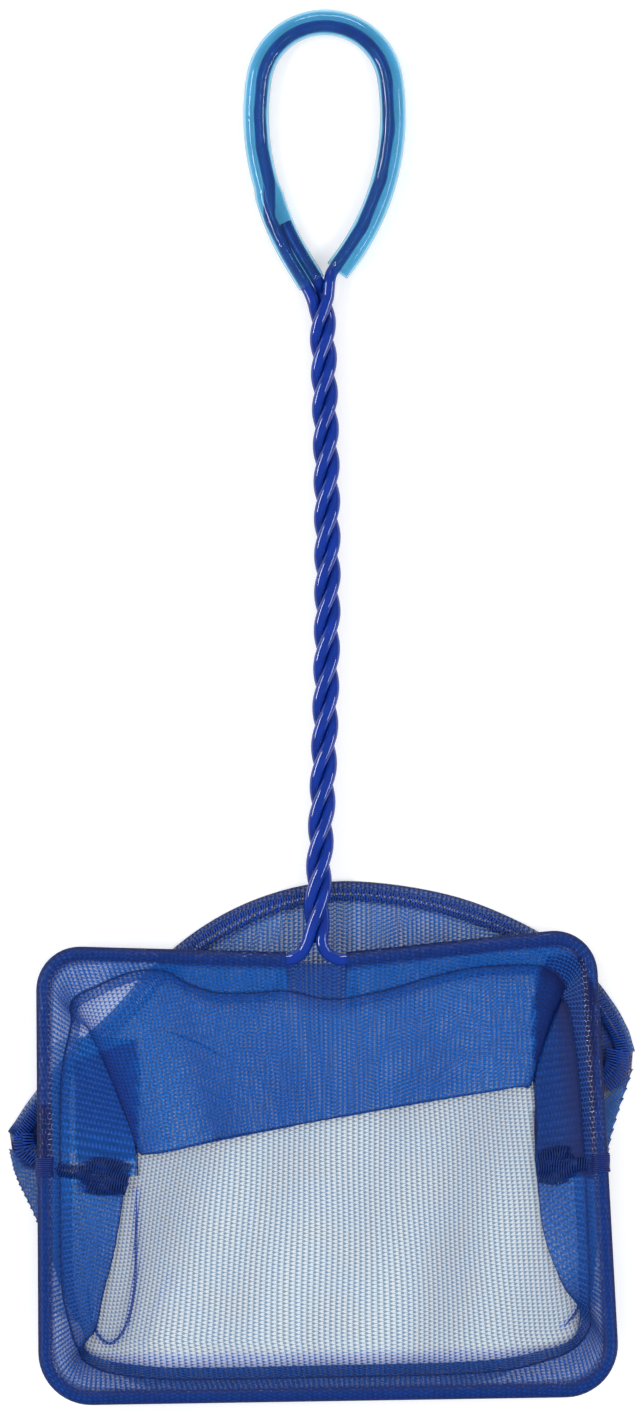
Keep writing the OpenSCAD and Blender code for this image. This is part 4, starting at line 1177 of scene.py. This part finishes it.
class NET_OT_panels(bpy.types.Operator):
    """Knit the two bag panels over their folds."""

    bl_idname = "net.panels"
    bl_label = "Bag Panels"

    def execute(self, context):
        props = context.scene.net_cloth
        material = thread_paint("knitted_nylon", props.mesh_colour, props.lit_colour)
        # Painted shade: darker copies of the hem colour for the places where the cloth lies gathered.
        gathered_shades = [thread_paint(f"gathered_shaded_nylon_{k + 1}", shade(props.hem_colour, bright))
                 for k, (_, _, bright) in enumerate(DENSE)]
        for panel, upper, held, rests_on in (
            ("lower", False, "laid", ["coated_wire"]),
            ("upper", True, "folded", ["lower_mesh_left", "lower_mesh_right"]),
        ):
            grid, plan = panel_grids(upper)
            half = len(grid) // 2
            cut = int(plan[half, 0, 0] // (props.column / MM))
            for side, stations, columns in (("left", slice(0, half + 1), (ALL_COLUMNS[0], cut + 1)),
                                            ("right", slice(half, None), (cut, ALL_COLUMNS[1]))):
                piece = knitted(f"{panel}_mesh_{side}", grid, plan, props, material, panel_density,
                                stations, columns, pressed_lines(upper, side == "left"))
                places = ring_places(piece)
                # Painted shade: the rings in the gathered places get the darker thread.
                for (outline, _, _), dark in zip(DENSE, gathered_shades):
                    repainted(piece, dark, inside(outline, places[:, 0], places[:, 1]))
                declared(piece, panel + "_panel", "mesh")
        return {"FINISHED"}


# Stations along a hem, and the hem's section round the wire: distance into the hoop and up from its middle.
# Its front runs from the stitch line to the wire and its back from the wire to that line, in shares of the way.
HEM_STATIONS = 361
HEM_SECTION = [(1.6, 1.3), (0.7, 1.84), (0, 1.98), (-0.76, 1.83), (-1.4, 1.4), (-1.83, 0.76), (-1.98, 0),
               (-1.83, -0.76), (-1.4, -1.4), (-0.76, -1.83), (0, -1.98), (0.8, -1.8), (1.7, -1.25)]
FRONT_SHARES, BACK_SHARES = (0, 0.2, 0.4, 0.6, 0.8), (0.2, 0.4, 0.6, 0.8, 1)
# How far the raw edge lies past the stitch line: on the upper hem, and on the lower one as (stations,
# distances).
UPPER_RAW, LOWER_RAW = 2.6, ((0, 0.2, 0.3, 0.7, 0.8, 1), (3.4, 3.4, 5, 5, 3.4, 3.4))
# Plies of the cloth on the hem's front, round the wire and on its back.
FRONT_PLIES, WIRE_PLIES, BACK_PLIES = 1.0, 2.8, 1.0
# Past this distance from the wire's middle the hem's thread has the bag's own colour.
# Nearer the wire the hem's thread keeps the darker hem colour, painted shade of the plies round it.
HEM_SHADE_R = 2.35


def hem_ways(upper, count):
    """Along a hem: (bar's middle, way up from it, way square into the hoop, stitch line, way on past it)."""
    rows = (upper_rows if upper else lower_rows)(count, 1)
    h = hoop_stations(upper, count)[0]
    along = unit(np.gradient(h, axis=0))
    up = posed(at_height(np.zeros((1, 2)), 1.0)) - posed(at_height(np.zeros((1, 2)), 0.0))
    square = unit(np.cross(np.broadcast_to(up, along.shape), along))
    square *= np.sign(np.sum(square * (rows[:, 1] - h), axis=1, keepdims=True))
    return h, np.broadcast_to(unit(up), along.shape), square, rows[:, 1], unit(rows[:, 2] - rows[:, 1])


def hem_grid(upper, part):
    """(grid, plan) of the cloth turned over the wire, along a part of a panel's hoop line."""
    h, up, square, stitch, on = (x[part] for x in hem_ways(upper, HEM_STATIONS))
    round_wire = [h + square * w + up * v for w, v in HEM_SECTION]
    front = [mix(stitch + on * 0.4, round_wire[0], t) + up * (0.05 + 0.25 * math.sin(math.pi * t)) * (t < 1)
             for t in FRONT_SHARES]
    back = [mix(round_wire[-1], stitch - up * 0.4, t) - up * 0.1 * math.sin(math.pi * t) for t in BACK_SHARES]
    past = UPPER_RAW if upper else np.interp(np.linspace(0, 1, HEM_STATIONS)[part], *LOWER_RAW)[:, None]
    raw = stitch + on * past - up * 0.5
    turned = np.clip((8 - np.linalg.norm(stitch - h, axis=1)) / 2, 0.03, 1)[:, None]
    inner = mix(raw, round_wire[-1], turned * 0.97) - up * 0.25
    back += [stitch + on * 1.4 - up * 0.5, raw, mix(raw, inner, 0.08) - up * 0.2,
             mix(raw, inner, 0.5) - up * 0.25, inner]
    grid = np.stack(front + round_wire + back, axis=1)
    return grid, flat_plan(grid, 0.0, 0.7 * lengths(h) + 0.3 * lengths(stitch))


def hem_density(grid, plan):
    """Plies of a hem's filaments at each point."""
    rounds = len(FRONT_SHARES), len(HEM_SECTION)
    back = grid.shape[1] - sum(rounds)
    return gathered(grid, plan) * np.repeat((FRONT_PLIES, WIRE_PLIES, BACK_PLIES), (*rounds, back))


class NET_OT_hems(bpy.types.Operator):
    """Turn each panel's edge over the wire."""

    bl_idname = "net.hems"
    bl_label = "Turned Hems"

    def execute(self, context):
        props = context.scene.net_cloth
        # Painted shade: the hem's thread takes the darker hem colour.
        material = thread_paint("hem_nylon", props.hem_colour, glossy=True)
        left_stop, right_stop = (int(round(at * (HEM_STATIONS - 1))) for at in NECK_STATIONS)
        for name, node, upper, part in (
            ("lower_hem_cloth", "lower_hem", False, slice(None)),
            ("upper_hem_cloth_left", "upper_hem_left", True, slice(left_stop + 1)),
            ("upper_hem_cloth_right", "upper_hem_right", True, slice(right_stop, None)),
        ):
            piece = knitted(name, *hem_grid(upper, part), props, material, hem_density)
            wire = KDTree(HEM_STATIONS)
            for k, place_at in enumerate(hoop_stations(upper, HEM_STATIONS)[0]):
                wire.insert(place_at, k)
            wire.balance()
            # Painted shade stays near the wire; the hem's thread further off gets the bag's own colour.
            off_wire = np.array([wire.find(p)[2] > HEM_SHADE_R for p in ring_places(piece)])
            repainted(piece, bpy.data.materials["knitted_nylon"], off_wire)
            declared(piece, node, "hem")
        return {"FINISHED"}


def thread_loop(name, path, radius, closed=False):
    """A small hidden piece of thread that is copied along a seam."""
    piece = grown(curve_object(name + "_path", [path], closed), tree_named("Thread Piece", tube_tree), name,
                  {"Radius": radius, "Sides": 6, "Material": None})
    piece.hide_render = True
    return piece


def sewn(name, lines, loop, pitch, material, slot, node):
    """Copies of one thread loop along the lines, as one piece."""
    seam = grown(curve_object(name + "_path", lines), tree_named("Stitch Row", stitch_tree), name,
                 {"Pitch": pitch, "Stitch": loop, "Material": material})
    shade_smooth(seam)
    return finished(seam, slot, node)


class NET_OT_stitches(bpy.types.Operator):
    """Sew the lock stitch that closes each turned hem."""

    bl_idname = "net.stitches"
    bl_label = "Hem Stitches"

    def execute(self, context):
        props = context.scene.net_thread
        material = thread_paint("lock_stitch", props.thread_colour)
        half = props.stitch_pitch / MM / 2
        bow = (-0.96, -0.35), (-0.9, -0.02), (-0.6, 0.16), (0, 0.2), (0.6, 0.16), (0.9, -0.02), (0.96, -0.35)
        path = [(half * x, 0, z) for x, z in bow]
        loop = thread_loop("lock_stitch_loop", path, props.thread_d / 2)
        for name, upper, node in (("lower_hem_stitches", False, "lower_hem_thread"),
                                  ("upper_hem_stitches", True, "upper_hem_thread")):
            _, up, _, stitch, _ = hem_ways(upper, HEM_STATIONS)
            sewn(name, [stitch + up * 0.12], loop, props.stitch_pitch, material, "thread", node)
        bpy.data.objects.remove(loop)
        return {"FINISHED"}


# The overlock seam's height over the table, and how its thread tails lie past each end, as steps from it.
SEAM_Z = 2.25
LEFT_TAILS = (((0.3, 0.8, 0.1), (1.2, -3, 0.1), (4.5, -5.5, 0)),
              ((2.6, 1.4, 0.5), (3.2, -2, 0.5), (5.5, -3.5, 0.3)))
RIGHT_TAILS = (((-0.3, 0.8, 0.1), (-0.6, -4, 0.1), (-4, -8, 0)),
               ((-3, 1.5, 0.5), (-3.4, -3, 0.5), (-6, -6, 0.3)))
# A side seam's spine over the hoop and the cloth, and the distance between its strands.
SPINE_Z, STRAND_APART = 0.75, 1.45


def overlock_path(step, half):
    """One loop of the overlock: over the seam and back under it."""
    return [(-step / 2, -half, 0), (-step / 4, -half * 0.8, 0.3), (0, 0, 0.36), (step / 4, half * 0.8, 0.3),
            (step / 2, half, 0), (step / 2, half * 0.8, -0.3), (0, 0, -0.32), (-step / 2, -half * 0.8, -0.3)]


def side_seam_lines(end):
    """The spine and the loose strands of one side seam, from the hoop to the fold; end is 0 or -1."""
    h = hoop_stations(False, 100)[0][end]
    top = (upper_rows(100, 1)[end][6] + lower_rows(100, 1)[end][6]) / 2
    way = unit(top - h)
    across = unit(np.cross(way, [0, 0, 1]))
    raised = np.array([0, 0, SPINE_Z])
    lines = [np.linspace(h + way * (HEM_R + 0.5) + raised, top + raised, 12)]
    for k in range(-2, 3):
        t = np.linspace(0.4 + 0.08 * abs(k), 1, 14)[:, None]
        sideways = across * (STRAND_APART * k + 0.5 * np.sin(9 * t + k))
        lines.append(mix(h, top, t) + sideways + np.array([0, 0, 1]) * (0.55 + 0.35 * np.sin(7 * t + 2 * k)))
    return lines


class NET_OT_seams(bpy.types.Operator):
    """Overlock the two panels together round the bag and up to the hoop on both sides."""

    bl_idname = "net.seams"
    bl_label = "Overlock Seams"

    def execute(self, context):
        props = context.scene.net_thread
        material = thread_paint("overlock_nylon", props.seam_colour)
        dark = thread_paint("side_overlock_nylon", shade(props.seam_colour, 0.45))
        loop = thread_loop("overlock_loop", overlock_path(props.overlock_pitch / MM, SEAM_W / 2),
                           props.thread_d * 0.6, True)
        outline = np.stack([LOWER_SHARES[:, 5] * BAG_HALF_W, BAG_Y + LOWER_SHARES[:, 6] * BAG_DEPTH], axis=1)
        middle = at_height(inset(even_line(smooth_line(outline, 12), 400), RIM_W + 0.3), SEAM_Z)
        tails = [smooth_line(end + np.array(tail), 8)
                 for end, tails in ((middle[0], LEFT_TAILS), (middle[-1], RIGHT_TAILS)) for tail in tails]
        sewn("bag_overlock", [middle] + tails, loop, props.overlock_pitch, material, "seam", "bag_seam")
        for name, node, end in (("left_overlock", "left_side_seam", 0),
                                ("right_overlock", "right_side_seam", -1)):
            sewn(name, side_seam_lines(end), loop, props.overlock_pitch, dark, "seam", node)
        bpy.data.objects.remove(loop)
        return {"FINISHED"}


class NET_OT_bars(bpy.types.Operator):
    """Wind the thread bars that tie the seam's ends round the hoop."""

    bl_idname = "net.bars"
    bl_label = "Thread Bars"

    def execute(self, context):
        props = context.scene.net_thread
        material = thread_paint("bar_thread", shade(props.thread_colour, 1.5))
        turns, steps, length, radius, thread_r = 10, 20, 5.0, 2.3, 0.00026
        for name, node, end in (("left_thread_bar", "left_bartack", 0),
                                ("right_thread_bar", "right_bartack", -1)):
            h, up, across = (x[end] for x in hem_ways(False, HEM_STATIONS)[:3])
            along = np.cross(across, up)
            path = []
            for k in range(turns * steps + 1):
                a = 2 * math.pi * k / steps
                r = radius + 0.1 * math.sin(3.1 * a)
                path.append(h + along * (k / steps / turns - 0.5) * length
                            + across * r * math.cos(a) + up * r * math.sin(a))
            bar = grown(curve_object(name + "_path", [path]), tree_named("Thread Bar", tube_tree), name,
                        {"Radius": thread_r, "Sides": 8, "Material": material})
            finished(bar, "thread", node)
        return {"FINISHED"}


def seen_level(holder, level, seen, shiny):
    """A strength that is level for plain light, with seen added for the camera and through clear pieces, and
    shiny added in reflections."""
    tree = holder.node_tree
    rays = tree.nodes.new("ShaderNodeLightPath").outputs
    clear = reckon(tree, "MAXIMUM", rays["Is Camera Ray"], rays["Is Transmission Ray"])
    total = reckon(tree, "ADD", level, reckon(tree, "MULTIPLY", clear, seen))
    return reckon(tree, "ADD", total, reckon(tree, "MULTIPLY", rays["Is Glossy Ray"], shiny))


# The lamps: [name, place, length and width, power against the left soft one, whether it lights the cloth]. The
# strips light nothing, and show only as streaks on what is glossy.
LAMPS = (
    ("left_softbox", (-0.9, 0.2, 1.3), (1.6, 0.12), 1, True),
    ("right_softbox", (0.9, -0.2, 1.3), (1.6, 0.12), 0.8, True),
    ("near_softbox", (0.1, -1.0, 1.3), (0.7, 0.12), 0.25, True),
    ("left_strip", (-1.45, 0.1, 0.7), (1.2, 0.25), 2.2, False),
    ("right_strip", (1.45, -0.1, 0.7), (1.2, 0.25), 1.3, False),
    ("far_strip", (0.1, 1.45, 0.7), (1.2, 0.25), 1.5, False),
)
# Half the table's side, and how far its face lies under the net.
TABLE_HALF, TABLE_DROP = 3000, 0.1


class NET_OT_studio(bpy.types.Operator):
    """Set the white table, the lamps and the camera straight above the net."""

    bl_idname = "net.studio"
    bl_label = "Studio"

    def execute(self, context):
        props = context.scene.net_studio
        paint = Paint("white_table", props.floor_colour, 0.9)
        paint.colour(paint.mottled(paint.noise(3, 2), props.floor_colour, 0.99, 1.01))
        paint.shader.inputs["Specular IOR Level"].default_value = 0
        paint.shader.inputs["Emission Color"].default_value = (1, 1, 1, 1)
        paint.links.new(seen_level(paint.material, 0.04, 0.34, 0.0), paint.shader.inputs["Emission Strength"])
        corners = [(x * TABLE_HALF, y * TABLE_HALF, -TABLE_DROP)
                   for x, y in ((-1, -1), (1, -1), (1, 1), (-1, 1))]
        table = mesh_object("white_table", corners, [(0, 1, 2, 3)])
        table.data.materials.append(paint.material)
        for name, place_at, size, share, soft in LAMPS:
            lamp = bpy.data.lights.new(name, "AREA")
            lamp.shape, lamp.size, lamp.size_y, lamp.energy = "RECTANGLE", *size, props.lamp_power * share
            obj = bpy.data.objects.new(name, lamp)
            obj.location = place_at
            obj.rotation_euler = (-Vector(place_at)).to_track_quat("-Z", "Y").to_euler()
            obj.visible_glossy, obj.visible_diffuse, obj.visible_transmission = not soft, soft, soft
            context.scene.collection.objects.link(obj)
        world = bpy.data.worlds.new("studio_white")
        context.scene.world = world
        world.use_nodes = True
        back = world.node_tree.nodes["Background"]
        back.inputs["Color"].default_value = (1, 1, 1, 1)
        world.node_tree.links.new(seen_level(world, 0.65, 0.35, -0.5), back.inputs["Strength"])
        camera = bpy.data.cameras.new("net_camera")
        camera.sensor_width = 36
        camera.lens = camera.sensor_width * props.camera_height / props.view_length
        camera.clip_start, camera.clip_end = 0.1, 20
        eye = bpy.data.objects.new("net_camera", camera)
        eye.location = (0.00013, 0, props.camera_height)
        context.scene.collection.objects.link(eye)
        context.scene.camera = eye
        context.scene.view_settings.view_transform = "Standard"
        return {"FINISHED"}


class NET_PT_panel(bpy.types.Panel):
    """The net's sizes and colours, and the steps that build it, in order."""

    bl_idname = "NET_PT_panel"
    bl_label = "Fish Net"
    bl_space_type = "VIEW_3D"
    bl_region_type = "UI"
    bl_category = "Fish Net"

    def draw(self, context):
        for group in GROUPS:
            props = getattr(context.scene, group)
            box = self.layout.box()
            for key in props.__annotations__:
                box.prop(props, key)
        for step in STEPS:
            self.layout.operator(step.bl_idname)


GROUPS = {"net_wire": NetWire, "net_cloth": NetCloth, "net_thread": NetThread, "net_studio": NetStudio}
STEPS = (NET_OT_studio, NET_OT_wire, NET_OT_sleeve, NET_OT_panels, NET_OT_hems, NET_OT_stitches, NET_OT_seams,
         NET_OT_bars)


def register():
    """Make the add-on's classes and properties known."""
    for cls in (*GROUPS.values(), *STEPS, NET_PT_panel):
        bpy.utils.register_class(cls)
    for name, cls in GROUPS.items():
        setattr(bpy.types.Scene, name, PointerProperty(type=cls))


def unregister():
    """Take them away again."""
    for name in GROUPS:
        delattr(bpy.types.Scene, name)
    for cls in (NET_PT_panel, *reversed(STEPS), *reversed(GROUPS.values())):
        bpy.utils.unregister_class(cls)


def main():
    """Registers the add-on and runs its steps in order."""
    register()
    for step in STEPS:
        group, name = step.bl_idname.split(".")
        if "FINISHED" not in getattr(getattr(bpy.ops, group), name)():
            raise RuntimeError(step.bl_label + " did not finish")


if __name__ == "__main__":
    main()
